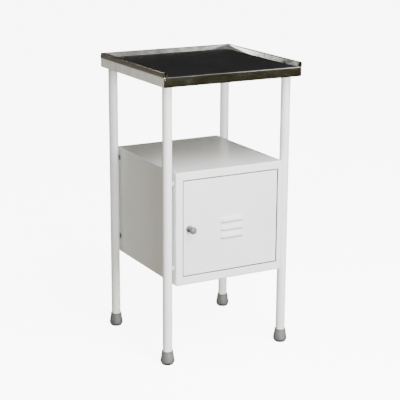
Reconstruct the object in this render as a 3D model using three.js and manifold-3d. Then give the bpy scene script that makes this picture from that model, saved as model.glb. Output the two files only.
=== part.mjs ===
// Bedside cabinet: a sheet metal cupboard with one louvred door, hung between four tube legs that carry a
// tray top with a rim on three sides.
//
// Millimetres, +Z up, the door faces -Y. The origin is on the floor under the middle of the overall box,
// which reaches from the knob's tip at the front to the tray's back edge.
import * as THREE from "three";
import { mergeVertices } from "three/addons/utils/BufferGeometryUtils.js";
import Module from "manifold-3d";

const wasm = await Module();
wasm.setup();

// ---- Driving dimensions ----

const ROUND_STEPS = 32; // sides of a large round piece
const SMALL_STEPS = 16; // sides of a small round piece
const SCREW_HOLE_STEPS = 12;
const ARC_STEPS = 4; // along the front trim's fold
const FIT_GAP = 0.3; // play around a piece that sits in or on another
const CLOSE_GAP = 0.1; // play between two pieces that bear on each other
const EDGE_PAST = 1; // how far a cutting tool reaches past the face that it cuts

// Tray top
const TRAY_WIDTH = 410;
const TRAY_BACK_Y = 200;
const TRAY_FRONT_Y = -188;
const SURFACE_Z = 783;
const RIM_HEIGHT = 12.5;
const RIM_WIDTH = 13;
const RIM_SKIRT = 3.5; // how far a side rim's outer side comes down over the board
const APRON_HEIGHT = 26;
const APRON_LIP = 8;
const STEEL_SHEET = 1;
const TRIM_LEDGE = 5; // how far the front trim folds back over the board
const TRIM_NOSE = 2; // radius of the front trim's top fold
const LAMINATE = 1;
const BOARD = 18;

// Legs
const TUBE_RADIUS = 12.7;
const TUBE_WALL = 1.2;
const LEG_X = 178;
const LEG_FRONT_Y = -152;
const LEG_BACK_Y = 177;
const LEG_PLATE = 40;
const LEG_PLATE_THICK = 3;
const LEG_PLATE_HOLE_OFFSET = 14;
const LEG_PLATE_HOLE_RADIUS = 2.2;
const WELD_NUT_RADIUS = 4.6;
const WELD_NUT_DEPTH = 5;
const WELD_NUT_BITE = 0.1; // how far a nut's flat end reaches into the tube's wall

// Feet
const FOOT_HEIGHT = 38;
const FOOT_FLOOR = 6;
// The outside of a foot as [radius, height] points, from its flat base up to its rounded mouth.
const FOOT_OUTSIDE = [[14.6, 0], [18.3, 5], [19.4, 10], [15.6, FOOT_HEIGHT - 1], [14.9, FOOT_HEIGHT]];

// Cupboard
const CUPBOARD_WIDTH = 324;
const CUPBOARD_FRONT_Y = -171;
const CUPBOARD_BACK_Y = 192;
const CUPBOARD_BOTTOM_Z = 221;
const CUPBOARD_TOP_Z = 529;
const SHEET = 1.2;
const FRAME_RETURN = 18; // depth of the front frame's folded edge, from the front
const STILE_LEFT = 20.4;
const STILE_RIGHT = 13.6;
const RAIL_TOP = 21.5;
const RAIL_BOTTOM = 24;

// Door
const DOOR_GAP = 2.2; // above and below
const DOOR_GAP_LATCH = 1.2;
const DOOR_GAP_HINGE = 2.8;
const DOOR_DEPTH = 14;
const PIVOT_INSET = 6; // from the door's right edge, and from its face
const PIN_RADIUS = 2.5;
const PIN_HOLE_RADIUS = 2.7;
const PIN_HEAD_RADIUS = 4.5;
const PIN_HEAD = 2;
const PIN_REACH = 7; // how far a pin's end stands inside the door
const WASHER_THICK = 2;

// Louvres
const LOUVRE_COUNT = 3;
const LOUVRE_LENGTH = 68;
const LOUVRE_PITCH = 21.8;
const LOUVRE_HEIGHT = 18.5;
const LOUVRE_RISE = 4.5;
const LOUVRE_OFFSET_X = 1.5; // of the louvres' middle from the door's middle
const LOUVRE_OFFSET_Z = 4; // of the upper louvre's lip from the door's middle
const LOUVRE_STEPS = 6;

// Knob
const KNOB_INSET = 17.5; // from the door's left edge
const KNOB_PROJECTION = 29;
const ROSE_THICK = 3.4;
// The outsides of the rose and the knob as [radius, distance from the door's face] points.
const ROSE_OUTSIDE = [[9, 0], [9, 1.2], [7.4, 2.4], [5, ROSE_THICK]];
const KNOB_NECK_RADIUS = 4.4;
const KNOB_HEAD = [[6.4, 16], [9, 19], [9.8, 22], [9, 25], [6.4, 27.7], [3.2, 28.8], [0, KNOB_PROJECTION]];
const KNOB_NECK_END = 14;
const KNOB_BORE_RADIUS = 2.2;
const KNOB_BORE_END = 15;
const SCREW_RADIUS = 2;
const SCREW_TIP_GAP = 2; // left at the end of the knob's bore
const SCREW_HEAD_RADIUS = 4;
const SCREW_HEAD = 2.4;
const HEAD_BEVEL = 1; // on the edge of a bolt's or screw's head

// Magnetic catch, level with the knob
const STRIKER_WIDTH = 15;
const STRIKER_LEG = 8;
const CATCH_PLATE_HEIGHT = 30;
const HOUSING_HEIGHT = 36;
const HOUSING_WIDTH = 14;
const HOUSING_DEPTH = 10.6;
const HOUSING_CLEARANCE = 0.4; // from the closed door's striker
const MAGNET_MARGIN_X = 3;
const MAGNET_MARGIN_Z = 4;
const MAGNET_DEPTH = 8;
const MAGNET_CLEARANCE = 0.1; // from the closed door's striker
const MAGNET_POCKET_GAP = 0.15;
const BRACKET_THICK = 1.5;
const BRACKET_FOOT = 16;

// Fixings between legs and cupboard
const BOLT_UPPER_Z = CUPBOARD_TOP_Z - 29;
const BOLT_LOWER_Z = CUPBOARD_BOTTOM_Z + 50;
const BOLT_RADIUS = 3;
const BOLT_HOLE_RADIUS = 3.3;
const BOLT_HEAD_RADIUS = 5.5;
const BOLT_HEAD = 3.6;
const BOLT_LENGTH = 12.6;
const SPACER_THICK = 5;
const SPACER_WIDTH = 16;
const SPACER_HEIGHT = 12;

// ---- Places that follow from them ----

const HALF_TRAY = TRAY_WIDTH / 2;
const APRON_BOTTOM_Z = SURFACE_Z - APRON_HEIGHT;
const BOARD_TOP_Z = SURFACE_Z - LAMINATE;
const BOARD_BOTTOM_Z = BOARD_TOP_Z - BOARD;
const LEG_TOP_Z = BOARD_BOTTOM_Z - LEG_PLATE_THICK;

const HALF_CUPBOARD = CUPBOARD_WIDTH / 2;
const PANEL_BOTTOM_Z = CUPBOARD_BOTTOM_Z + SHEET;
const PANEL_TOP_Z = CUPBOARD_TOP_Z - SHEET;
const OPENING_LEFT = -HALF_CUPBOARD + STILE_LEFT;
const OPENING_RIGHT = HALF_CUPBOARD - STILE_RIGHT;
const OPENING_BOTTOM = CUPBOARD_BOTTOM_Z + RAIL_BOTTOM;
const OPENING_TOP = CUPBOARD_TOP_Z - RAIL_TOP;
const FRAME_BACK_Y = CUPBOARD_FRONT_Y + FRAME_RETURN;

const DOOR_RIGHT = OPENING_RIGHT - DOOR_GAP_HINGE;
const DOOR_WIDTH = DOOR_RIGHT - OPENING_LEFT - DOOR_GAP_LATCH;
const DOOR_BOTTOM = OPENING_BOTTOM + DOOR_GAP;
const DOOR_HEIGHT = OPENING_TOP - DOOR_GAP - DOOR_BOTTOM;
const PIVOT_X = DOOR_RIGHT - PIVOT_INSET;
const PIVOT_Y = CUPBOARD_FRONT_Y + PIVOT_INSET;
const HANDLE_Z = DOOR_BOTTOM + DOOR_HEIGHT / 2;
const HOUSING_LEFT = OPENING_LEFT + DOOR_GAP_LATCH + SHEET;
const HOUSING_FRONT = CUPBOARD_FRONT_Y + DOOR_DEPTH + HOUSING_CLEARANCE;

// ---- Materials ----

const paint = (color) => () => new THREE.MeshStandardMaterial({ color, roughness: 0.35, metalness: 0 });
const metal = (color, roughness) => () => new THREE.MeshStandardMaterial({ color, roughness, metalness: 1 });
const plain = (color, roughness) => () => new THREE.MeshStandardMaterial({ color, roughness, metalness: 0 });

const whiteEnamel = paint(0xe9ebe8);
const polishedSteel = metal(0xc9cac6, 0.2);
const zincSteel = metal(0xb4b6b8, 0.4);
const satinKnob = metal(0x8d8f90, 0.45);
const blackLaminate = plain(0x141415, 0.12);
const boardCore = plain(0xa98a62, 0.8);
const greyVinyl = plain(0x858582, 0.6);
const catchPlastic = plain(0xd9d6cc, 0.5);
const magnetBlack = plain(0x2d2c2b, 0.6);

// ---- Solids ----

// A geometry as a manifold solid, with its shared corners merged.
function toSolid(geometry) {
  const bare = geometry.clone();
  bare.deleteAttribute("normal");
  bare.deleteAttribute("uv");
  const merged = mergeVertices(bare, 1e-4);
  return new wasm.Manifold(
    new wasm.Mesh({
      numProp: 3,
      vertProperties: merged.getAttribute("position").array,
      triVerts: new Uint32Array(merged.index.array),
    }),
  );
}

// A manifold solid back as a flat-shaded geometry.
function toGeometry(solid) {
  const mesh = solid.getMesh();
  const indexed = new THREE.BufferGeometry();
  indexed.setAttribute("position", new THREE.BufferAttribute(new Float32Array(mesh.vertProperties), 3));
  indexed.setIndex(new THREE.BufferAttribute(new Uint32Array(mesh.triVerts), 1));
  const flat = indexed.toNonIndexed();
  flat.computeVertexNormals();
  return flat;
}

const cut = (geometry, tools) =>
  toGeometry(tools.reduce((solid, tool) => solid.subtract(toSolid(tool)), toSolid(geometry)));

const join = (geometry, others) =>
  toGeometry(others.reduce((solid, other) => solid.add(toSolid(other)), toSolid(geometry)));

// A box between two opposite corners.
function box(corner, opposite) {
  const size = corner.map((value, i) => Math.abs(value - opposite[i]));
  const middle = corner.map((value, i) => (value + opposite[i]) / 2);
  return new THREE.BoxGeometry(...size).translate(...middle);
}

// A cylinder between two heights, on the Z axis unless it is turned afterwards.
function rod(radius, from, to, steps = SMALL_STEPS) {
  return new THREE.CylinderGeometry(radius, radius, to - from, steps)
    .rotateX(Math.PI / 2)
    .translate(0, 0, (from + to) / 2);
}

// A solid turned round the Z axis from [radius, height] points.
function turned(points, steps = SMALL_STEPS) {
  const outline = points.map(([radius, height]) => new THREE.Vector2(radius, height));
  return new THREE.LatheGeometry(outline, steps).rotateX(Math.PI / 2);
}

// A ring round the Z axis.
function ring(inner, outer, from, to, steps = SMALL_STEPS) {
  return turned([[inner, from], [outer, from], [outer, to], [inner, to], [inner, from]], steps);
}

const shapeOf = (points) => new THREE.Shape(points.map(([a, b]) => new THREE.Vector2(a, b)));

// An outline of [y, z] points, or a shape in that plane, drawn out along X.
function alongX(outline, from, to) {
  const shape = outline instanceof THREE.Shape ? outline : shapeOf(outline);
  const options = { depth: to - from, bevelEnabled: false, curveSegments: ARC_STEPS };
  return new THREE.ExtrudeGeometry(shape, options)
    .rotateX(Math.PI / 2)
    .rotateZ(Math.PI / 2)
    .translate(from, 0, 0);
}

// An outline of [x, z] points drawn out along Y.
function alongY(points, from, to) {
  return new THREE.ExtrudeGeometry(shapeOf(points), { depth: to - from, bevelEnabled: false })
    .rotateX(Math.PI / 2)
    .translate(0, to, 0);
}

// An outline of [x, y] points drawn out along Z.
function alongZ(points, from, to) {
  return new THREE.ExtrudeGeometry(shapeOf(points), { depth: to - from, bevelEnabled: false })
    .translate(0, 0, from);
}

function piece(name, geometry, material) {
  const mesh = new THREE.Mesh(geometry, material());
  mesh.name = name;
  return mesh;
}

function placed(object, x, y, z) {
  object.position.set(x, y, z);
  return object;
}

// ---- Tray top ----

function trayBoard() {
  const edge = HALF_TRAY - STEEL_SHEET;
  return box(
    [-edge, TRAY_FRONT_Y + STEEL_SHEET, BOARD_BOTTOM_Z],
    [edge, TRAY_BACK_Y - STEEL_SHEET, BOARD_TOP_Z],
  );
}

// The laminate lies on the board between the front trim's ledge and the rims' inner sides.
function traySurface() {
  const edge = HALF_TRAY - RIM_WIDTH - FIT_GAP;
  const back = TRAY_BACK_Y - RIM_WIDTH - FIT_GAP;
  return box([-edge, TRAY_FRONT_Y + TRIM_LEDGE, BOARD_TOP_Z], [edge, back, SURFACE_Z]);
}

// The front trim: a ledge on the board, a rounded nose, the apron, and a lip folded back under it.
function frontTrim() {
  const front = TRAY_FRONT_Y;
  const inside = front + STEEL_SHEET;
  const shape = new THREE.Shape();
  shape.moveTo(front + TRIM_LEDGE, SURFACE_Z);
  shape.lineTo(front + TRIM_NOSE, SURFACE_Z);
  shape.absarc(front + TRIM_NOSE, SURFACE_Z - TRIM_NOSE, TRIM_NOSE, Math.PI / 2, Math.PI, false);
  shape.lineTo(front, APRON_BOTTOM_Z);
  shape.lineTo(inside + APRON_LIP, APRON_BOTTOM_Z);
  shape.lineTo(inside + APRON_LIP, APRON_BOTTOM_Z + STEEL_SHEET);
  shape.lineTo(inside, APRON_BOTTOM_Z + STEEL_SHEET);
  shape.lineTo(inside, BOARD_TOP_Z);
  shape.lineTo(front + TRIM_LEDGE, BOARD_TOP_Z);
  const trim = alongX(shape, -HALF_TRAY, HALF_TRAY);
  const pastLedge = front + TRIM_LEDGE + EDGE_PAST;
  const ledgeZ = [APRON_BOTTOM_Z - EDGE_PAST, SURFACE_Z + EDGE_PAST];
  const ledgeEnds = bothEnds(HALF_TRAY - STEEL_SHEET, [inside, pastLedge], ledgeZ);
  return cut(trim, [...ledgeEnds, ...lipEnds(inside, inside + APRON_LIP + EDGE_PAST)]);
}

// Two boxes that cut a piece's left and right ends off beyond x, each with its own y and z range.
function bothEnds(x, [lowY, highY], [lowZ, highZ]) {
  const past = HALF_TRAY + EDGE_PAST;
  return [box([-past, lowY, lowZ], [-x, highY, highZ]), box([x, lowY, lowZ], [past, highY, highZ])];
}

// The cuts that stop a front or back lip short of the side aprons' lips.
function lipEnds(lowY, highY) {
  const end = HALF_TRAY - STEEL_SHEET - APRON_LIP - EDGE_PAST;
  const lipZ = [APRON_BOTTOM_Z - EDGE_PAST, APRON_BOTTOM_Z + STEEL_SHEET + EDGE_PAST];
  return bothEnds(end, [lowY, highY], lipZ);
}

// A side apron: an upright sheet with a lip folded inwards at the bottom. side is -1 left, 1 right.
function sideApron(side) {
  const outer = side * HALF_TRAY;
  const inner = side * (HALF_TRAY - STEEL_SHEET);
  const lip = side * (HALF_TRAY - STEEL_SHEET - APRON_LIP);
  const outline = [
    [outer, SURFACE_Z - RIM_SKIRT],
    [outer, APRON_BOTTOM_Z],
    [lip, APRON_BOTTOM_Z],
    [lip, APRON_BOTTOM_Z + STEEL_SHEET],
    [inner, APRON_BOTTOM_Z + STEEL_SHEET],
    [inner, SURFACE_Z - RIM_SKIRT],
  ];
  return alongY(outline, TRAY_FRONT_Y + STEEL_SHEET, TRAY_BACK_Y - STEEL_SHEET);
}

function backApron() {
  const outer = TRAY_BACK_Y;
  const inner = TRAY_BACK_Y - STEEL_SHEET;
  const lip = inner - APRON_LIP;
  const apron = alongX(
    [
      [outer, SURFACE_Z],
      [outer, APRON_BOTTOM_Z],
      [lip, APRON_BOTTOM_Z],
      [lip, APRON_BOTTOM_Z + STEEL_SHEET],
      [inner, APRON_BOTTOM_Z + STEEL_SHEET],
      [inner, SURFACE_Z],
    ],
    -HALF_TRAY,
    HALF_TRAY,
  );
  return cut(apron, lipEnds(lip - EDGE_PAST, inner));
}

// The outline of a rim: a sheet folded up, over and down, open below. outer and inner are its two sides;
// the outer one stands on an apron, at outerFoot, and the inner one on the board.
function rimOutline(outer, inner, outerFoot) {
  const inwards = Math.sign(inner - outer);
  const top = SURFACE_Z + RIM_HEIGHT;
  return [
    [outer, outerFoot],
    [outer, top],
    [inner, top],
    [inner, BOARD_TOP_Z],
    [inner - inwards * STEEL_SHEET, BOARD_TOP_Z],
    [inner - inwards * STEEL_SHEET, top - STEEL_SHEET],
    [outer + inwards * STEEL_SHEET, top - STEEL_SHEET],
    [outer + inwards * STEEL_SHEET, outerFoot],
  ];
}

// A side rim, cut away round the front trim's ledge and sheet and over the back apron.
function sideRim(side) {
  const outline = rimOutline(side * HALF_TRAY, side * (HALF_TRAY - RIM_WIDTH), SURFACE_Z - RIM_SKIRT);
  const rim = alongY(outline, TRAY_FRONT_Y, TRAY_BACK_Y);
  const insideSheet = side * (HALF_TRAY - STEEL_SHEET);
  const pastRim = side * (HALF_TRAY + EDGE_PAST);
  const belowRim = SURFACE_Z - RIM_SKIRT - EDGE_PAST;
  const pastFront = TRAY_FRONT_Y - EDGE_PAST;
  const trimLedge = box([insideSheet, pastFront, belowRim], [0, TRAY_FRONT_Y + TRIM_LEDGE, SURFACE_Z]);
  const trimSheet = box([pastRim, pastFront, belowRim], [0, TRAY_FRONT_Y + STEEL_SHEET, SURFACE_Z]);
  const backSheet = box(
    [pastRim, TRAY_BACK_Y - STEEL_SHEET, belowRim],
    [0, TRAY_BACK_Y + EDGE_PAST, SURFACE_Z],
  );
  return cut(rim, [trimLedge, trimSheet, backSheet]);
}

function backRim() {
  const end = HALF_TRAY - RIM_WIDTH;
  return alongX(rimOutline(TRAY_BACK_Y, TRAY_BACK_Y - RIM_WIDTH, SURFACE_Z), -end, end);
}

function tray() {
  const group = new THREE.Group();
  group.add(
    piece("tray_board", trayBoard(), boardCore),
    piece("tray_surface", traySurface(), blackLaminate),
    piece("front_trim", frontTrim(), polishedSteel),
    piece("left_apron", sideApron(-1), polishedSteel),
    piece("right_apron", sideApron(1), polishedSteel),
    piece("back_apron", backApron(), polishedSteel),
    piece("left_rim", sideRim(-1), polishedSteel),
    piece("right_rim", sideRim(1), polishedSteel),
    piece("back_rim", backRim(), polishedSteel),
  );
  return group;
}

// ---- Legs, made on their own axis; inwards is the X direction of the cupboard from the leg ----

// A tube with two bolt holes towards the cupboard, each with its weld nut inside the wall.
function legTube(inwards) {
  const bore = TUBE_RADIUS - TUBE_WALL;
  const tube = ring(bore, TUBE_RADIUS, FOOT_FLOOR, LEG_TOP_Z, ROUND_STEPS);
  const nuts = [];
  const holes = [];
  for (const z of [BOLT_LOWER_Z, BOLT_UPPER_Z]) {
    const sideways = (geometry) => geometry.rotateY((inwards * Math.PI) / 2).translate(0, 0, z);
    nuts.push(sideways(rod(WELD_NUT_RADIUS, bore - WELD_NUT_DEPTH, bore + WELD_NUT_BITE)));
    holes.push(sideways(rod(BOLT_HOLE_RADIUS, 0, TUBE_RADIUS + EDGE_PAST)));
  }
  return cut(join(tube, nuts), holes);
}

// The square plate welded on a leg's top, with a screw hole in each corner.
function legPlate() {
  const half = LEG_PLATE / 2;
  const holes = [];
  for (const x of [-LEG_PLATE_HOLE_OFFSET, LEG_PLATE_HOLE_OFFSET]) {
    for (const y of [-LEG_PLATE_HOLE_OFFSET, LEG_PLATE_HOLE_OFFSET]) {
      const pastPlate = BOARD_BOTTOM_Z + EDGE_PAST;
      const hole = rod(LEG_PLATE_HOLE_RADIUS, LEG_TOP_Z - EDGE_PAST, pastPlate, SCREW_HOLE_STEPS);
      holes.push(hole.translate(x, y, 0));
    }
  }
  return cut(box([-half, -half, LEG_TOP_Z], [half, half, BOARD_BOTTOM_Z]), holes);
}

// A flared cup that the tube stands in.
function foot() {
  const bore = TUBE_RADIUS + FIT_GAP;
  const cup = [[bore, FOOT_HEIGHT], [bore, FOOT_FLOOR], [0, FOOT_FLOOR]];
  return turned([[0, 0], ...FOOT_OUTSIDE, ...cup], ROUND_STEPS);
}

// A saddle between a leg and the cupboard's side, hollowed to the tube.
function spacer(inwards) {
  const side = LEG_X - HALF_CUPBOARD;
  const near = inwards * side;
  const far = inwards * (side - SPACER_THICK);
  const block = box(
    [near, -SPACER_WIDTH / 2, -SPACER_HEIGHT / 2],
    [far, SPACER_WIDTH / 2, SPACER_HEIGHT / 2],
  );
  const tube = rod(TUBE_RADIUS + FIT_GAP, -SPACER_HEIGHT, SPACER_HEIGHT, ROUND_STEPS);
  const hole = rod(BOLT_HOLE_RADIUS, 0, side + EDGE_PAST).rotateY((inwards * Math.PI) / 2);
  return cut(block, [tube, hole]);
}

// A bolt from inside the cupboard into the leg; its shank starts at z = 0 and its head is below.
function bolt() {
  return turned([
    [0, -BOLT_HEAD],
    [BOLT_HEAD_RADIUS - HEAD_BEVEL, -BOLT_HEAD],
    [BOLT_HEAD_RADIUS, HEAD_BEVEL - BOLT_HEAD],
    [BOLT_HEAD_RADIUS, 0],
    [BOLT_RADIUS, 0],
    [BOLT_RADIUS, BOLT_LENGTH],
    [0, BOLT_LENGTH],
  ]);
}

// The front spacers are painted with the legs; the back ones are bare vinyl.
function leg(place, x, y, spacerMaterial) {
  const group = new THREE.Group();
  const inwards = -Math.sign(x);
  group.add(
    piece(`${place}_leg`, legTube(inwards), whiteEnamel),
    piece(`${place}_leg_plate`, legPlate(), whiteEnamel),
    piece(`${place}_foot`, foot(), greyVinyl),
  );
  for (const [level, z] of [["lower", BOLT_LOWER_Z], ["upper", BOLT_UPPER_Z]]) {
    const headFace = inwards * (LEG_X - HALF_CUPBOARD + SHEET + FIT_GAP);
    const shank = bolt().rotateY((-inwards * Math.PI) / 2);
    group.add(
      placed(piece(`${place}_${level}_spacer`, spacer(inwards), spacerMaterial), 0, 0, z),
      placed(piece(`${place}_${level}_bolt`, shank, zincSteel), headFace, 0, z),
    );
  }
  return placed(group, x, y, 0);
}

// ---- Cupboard ----

// A side panel with a hole for each bolt. side is -1 left, 1 right.
function sidePanel(side) {
  const outer = side * HALF_CUPBOARD;
  const inner = side * (HALF_CUPBOARD - SHEET);
  const front = CUPBOARD_FRONT_Y + SHEET;
  const panel = box([outer, front, PANEL_BOTTOM_Z], [inner, CUPBOARD_BACK_Y, PANEL_TOP_Z]);
  const holes = [];
  for (const y of [LEG_FRONT_Y, LEG_BACK_Y]) {
    for (const z of [BOLT_LOWER_Z, BOLT_UPPER_Z]) {
      const hole = rod(BOLT_HOLE_RADIUS, -SHEET - EDGE_PAST, SHEET + EDGE_PAST).rotateY(Math.PI / 2);
      holes.push(hole.translate(outer, y, z));
    }
  }
  return cut(panel, holes);
}

function levelPanel(z) {
  return box([-HALF_CUPBOARD, CUPBOARD_FRONT_Y, z], [HALF_CUPBOARD, CUPBOARD_BACK_Y, z + SHEET]);
}

function backPanel() {
  const edge = HALF_CUPBOARD - SHEET;
  return box([-edge, CUPBOARD_BACK_Y - SHEET, PANEL_BOTTOM_Z], [edge, CUPBOARD_BACK_Y, PANEL_TOP_Z]);
}

// An upright of the front frame: a face, and an edge folded back beside the door.
function stile(outerX, openingX) {
  const outwards = Math.sign(outerX - openingX);
  const face = CUPBOARD_FRONT_Y;
  const outline = [
    [outerX, face],
    [openingX, face],
    [openingX, FRAME_BACK_Y],
    [openingX + outwards * SHEET, FRAME_BACK_Y],
    [openingX + outwards * SHEET, face + SHEET],
    [outerX, face + SHEET],
  ];
  return alongZ(outline, PANEL_BOTTOM_Z, PANEL_TOP_Z);
}

// A rail of the front frame, with a hole in its folded edge for the pivot pin.
function rail(outerZ, openingZ) {
  const outwards = Math.sign(outerZ - openingZ);
  const face = CUPBOARD_FRONT_Y;
  const outline = [
    [face, outerZ],
    [face, openingZ],
    [FRAME_BACK_Y, openingZ],
    [FRAME_BACK_Y, openingZ + outwards * SHEET],
    [face + SHEET, openingZ + outwards * SHEET],
    [face + SHEET, outerZ],
  ];
  const hole = rod(PIN_HOLE_RADIUS, openingZ - SHEET - EDGE_PAST, openingZ + SHEET + EDGE_PAST);
  return cut(alongX(outline, OPENING_LEFT, OPENING_RIGHT), [hole.translate(PIVOT_X, PIVOT_Y, 0)]);
}

// A headed pin along Z from the rail's far side into the door. upwards is 1 where it points up.
function pivotPin(upwards) {
  const shank = SHEET + DOOR_GAP + PIN_REACH;
  const pin = turned([
    [0, -PIN_HEAD],
    [PIN_HEAD_RADIUS, -PIN_HEAD],
    [PIN_HEAD_RADIUS, 0],
    [PIN_RADIUS, 0],
    [PIN_RADIUS, shank],
    [0, shank],
  ]);
  return upwards > 0 ? pin : pin.rotateX(Math.PI);
}

function pivotWasher() {
  return ring(PIN_HOLE_RADIUS, PIN_HEAD_RADIUS, OPENING_BOTTOM, OPENING_BOTTOM + WASHER_THICK);
}

function catchBracket() {
  const wall = -HALF_CUPBOARD + SHEET;
  const front = HOUSING_FRONT + HOUSING_DEPTH;
  const end = HOUSING_LEFT + HOUSING_WIDTH;
  const outline = [
    [wall, front],
    [end, front],
    [end, front + BRACKET_THICK],
    [wall + BRACKET_THICK, front + BRACKET_THICK],
    [wall + BRACKET_THICK, front + BRACKET_FOOT],
    [wall, front + BRACKET_FOOT],
  ];
  return alongZ(outline, HANDLE_Z - CATCH_PLATE_HEIGHT / 2, HANDLE_Z + CATCH_PLATE_HEIGHT / 2);
}

function magnetBox(gap) {
  const left = HOUSING_LEFT + MAGNET_MARGIN_X;
  const right = HOUSING_LEFT + HOUSING_WIDTH - MAGNET_MARGIN_X;
  const front = CUPBOARD_FRONT_Y + DOOR_DEPTH + MAGNET_CLEARANCE;
  const half = HOUSING_HEIGHT / 2 - MAGNET_MARGIN_Z;
  return box(
    [left - gap, front, HANDLE_Z - half - gap],
    [right + gap, front + MAGNET_DEPTH + gap, HANDLE_Z + half + gap],
  );
}

function catchHousing() {
  const block = box(
    [HOUSING_LEFT, HOUSING_FRONT, HANDLE_Z - HOUSING_HEIGHT / 2],
    [HOUSING_LEFT + HOUSING_WIDTH, HOUSING_FRONT + HOUSING_DEPTH, HANDLE_Z + HOUSING_HEIGHT / 2],
  );
  return cut(block, [magnetBox(MAGNET_POCKET_GAP)]);
}

function cupboard() {
  const group = new THREE.Group();
  const upperPinZ = OPENING_TOP + SHEET;
  const lowerPinZ = OPENING_BOTTOM - SHEET;
  group.add(
    piece("cupboard_top", levelPanel(PANEL_TOP_Z), whiteEnamel),
    piece("cupboard_bottom", levelPanel(CUPBOARD_BOTTOM_Z), whiteEnamel),
    piece("cupboard_left_side", sidePanel(-1), whiteEnamel),
    piece("cupboard_right_side", sidePanel(1), whiteEnamel),
    piece("cupboard_back", backPanel(), whiteEnamel),
    piece("left_stile", stile(-HALF_CUPBOARD, OPENING_LEFT), whiteEnamel),
    piece("right_stile", stile(HALF_CUPBOARD, OPENING_RIGHT), whiteEnamel),
    piece("top_rail", rail(PANEL_TOP_Z, OPENING_TOP), whiteEnamel),
    piece("bottom_rail", rail(PANEL_BOTTOM_Z, OPENING_BOTTOM), whiteEnamel),
    placed(piece("upper_pivot_pin", pivotPin(-1), zincSteel), PIVOT_X, PIVOT_Y, upperPinZ),
    placed(piece("lower_pivot_pin", pivotPin(1), zincSteel), PIVOT_X, PIVOT_Y, lowerPinZ),
    placed(piece("pivot_washer", pivotWasher(), greyVinyl), PIVOT_X, PIVOT_Y, 0),
    piece("catch_bracket", catchBracket(), zincSteel),
    piece("catch_housing", catchHousing(), catchPlastic),
    piece("catch_magnet", magnetBox(0), magnetBlack),
  );
  return group;
}

// ---- Door, made round its pivot axis: x = 0, y = 0 is the axis and z = 0 the door's lower edge ----

const DOOR_LEFT_X = PIVOT_INSET - DOOR_WIDTH;
const DOOR_FACE_Y = -PIVOT_INSET;
const DOOR_BACK_Y = DOOR_FACE_Y + DOOR_DEPTH;

// The curve of a louvre's hood as [y, z] points, from the top of its height down to its lip. depth is how
// far behind the hood's outside the curve runs.
function louvreCurve(lipZ, height, depth) {
  const points = [];
  for (let step = 0; step <= LOUVRE_STEPS; step += 1) {
    const part = step / LOUVRE_STEPS;
    const rise = (LOUVRE_RISE * (1 - Math.cos(Math.PI * part))) / 2;
    points.push([DOOR_FACE_Y - rise + depth, lipZ + height * (1 - part)]);
  }
  return points;
}

// The outside of a hood, down to its lip and back into the door's skin.
function louvreHood(middleX, lipZ) {
  const inSkin = DOOR_FACE_Y + SHEET / 2;
  const outline = [[inSkin, lipZ + LOUVRE_HEIGHT], ...louvreCurve(lipZ, LOUVRE_HEIGHT, 0), [inSkin, lipZ]];
  return alongX(outline, middleX - LOUVRE_LENGTH / 2, middleX + LOUVRE_LENGTH / 2);
}

// The space under a hood, open downwards at the lip and back through the skin.
function louvreHollow(middleX, lipZ) {
  const behind = DOOR_FACE_Y + SHEET + EDGE_PAST;
  const outline = [
    [behind, lipZ + LOUVRE_HEIGHT - SHEET],
    ...louvreCurve(lipZ, LOUVRE_HEIGHT - SHEET, SHEET),
    [DOOR_FACE_Y - LOUVRE_RISE + SHEET, lipZ - EDGE_PAST],
    [DOOR_FACE_Y, lipZ - EDGE_PAST],
    [DOOR_FACE_Y, lipZ],
    [behind, lipZ],
  ];
  const half = LOUVRE_LENGTH / 2 - SHEET;
  return alongX(outline, middleX - half, middleX + half);
}

// The door's panel: a pan open at the back, with louvres, pivot holes and the knob's hole.
function doorPanel() {
  const pan = box([DOOR_LEFT_X, DOOR_FACE_Y, 0], [PIVOT_INSET, DOOR_BACK_Y, DOOR_HEIGHT]);
  const inside = box(
    [DOOR_LEFT_X + SHEET, DOOR_FACE_Y + SHEET, SHEET],
    [PIVOT_INSET - SHEET, DOOR_BACK_Y + EDGE_PAST, DOOR_HEIGHT - SHEET],
  );
  const hoods = [];
  const openings = [inside];
  const middleX = DOOR_LEFT_X + DOOR_WIDTH / 2 + LOUVRE_OFFSET_X;
  for (let i = 0; i < LOUVRE_COUNT; i += 1) {
    const lipZ = DOOR_HEIGHT / 2 + LOUVRE_OFFSET_Z - i * LOUVRE_PITCH;
    hoods.push(louvreHood(middleX, lipZ));
    openings.push(louvreHollow(middleX, lipZ));
  }
  openings.push(rod(PIN_HOLE_RADIUS, -EDGE_PAST, SHEET + EDGE_PAST));
  openings.push(rod(PIN_HOLE_RADIUS, DOOR_HEIGHT - SHEET - EDGE_PAST, DOOR_HEIGHT + EDGE_PAST));
  const knobHole = rod(KNOB_BORE_RADIUS, -SHEET - EDGE_PAST, SHEET + EDGE_PAST).rotateX(Math.PI / 2);
  openings.push(knobHole.translate(DOOR_LEFT_X + KNOB_INSET, DOOR_FACE_Y, DOOR_HEIGHT / 2));
  return cut(join(pan, hoods), openings);
}

// The knob's pieces are turned on Z, with z = 0 at the door's face, then laid along -Y.
const laidForward = (geometry) => geometry.rotateX(Math.PI / 2);

function knobRose() {
  const bore = [[KNOB_BORE_RADIUS, ROSE_THICK], [KNOB_BORE_RADIUS, 0]];
  return laidForward(turned([...ROSE_OUTSIDE, ...bore, ROSE_OUTSIDE[0]], ROUND_STEPS));
}

function knob() {
  const start = ROSE_THICK + FIT_GAP;
  const outline = [
    [KNOB_BORE_RADIUS, start],
    [KNOB_NECK_RADIUS, start],
    [KNOB_NECK_RADIUS, KNOB_NECK_END],
    ...KNOB_HEAD,
    [0, KNOB_BORE_END],
    [KNOB_BORE_RADIUS, KNOB_BORE_END],
    [KNOB_BORE_RADIUS, start],
  ];
  return laidForward(turned(outline, ROUND_STEPS));
}

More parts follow.
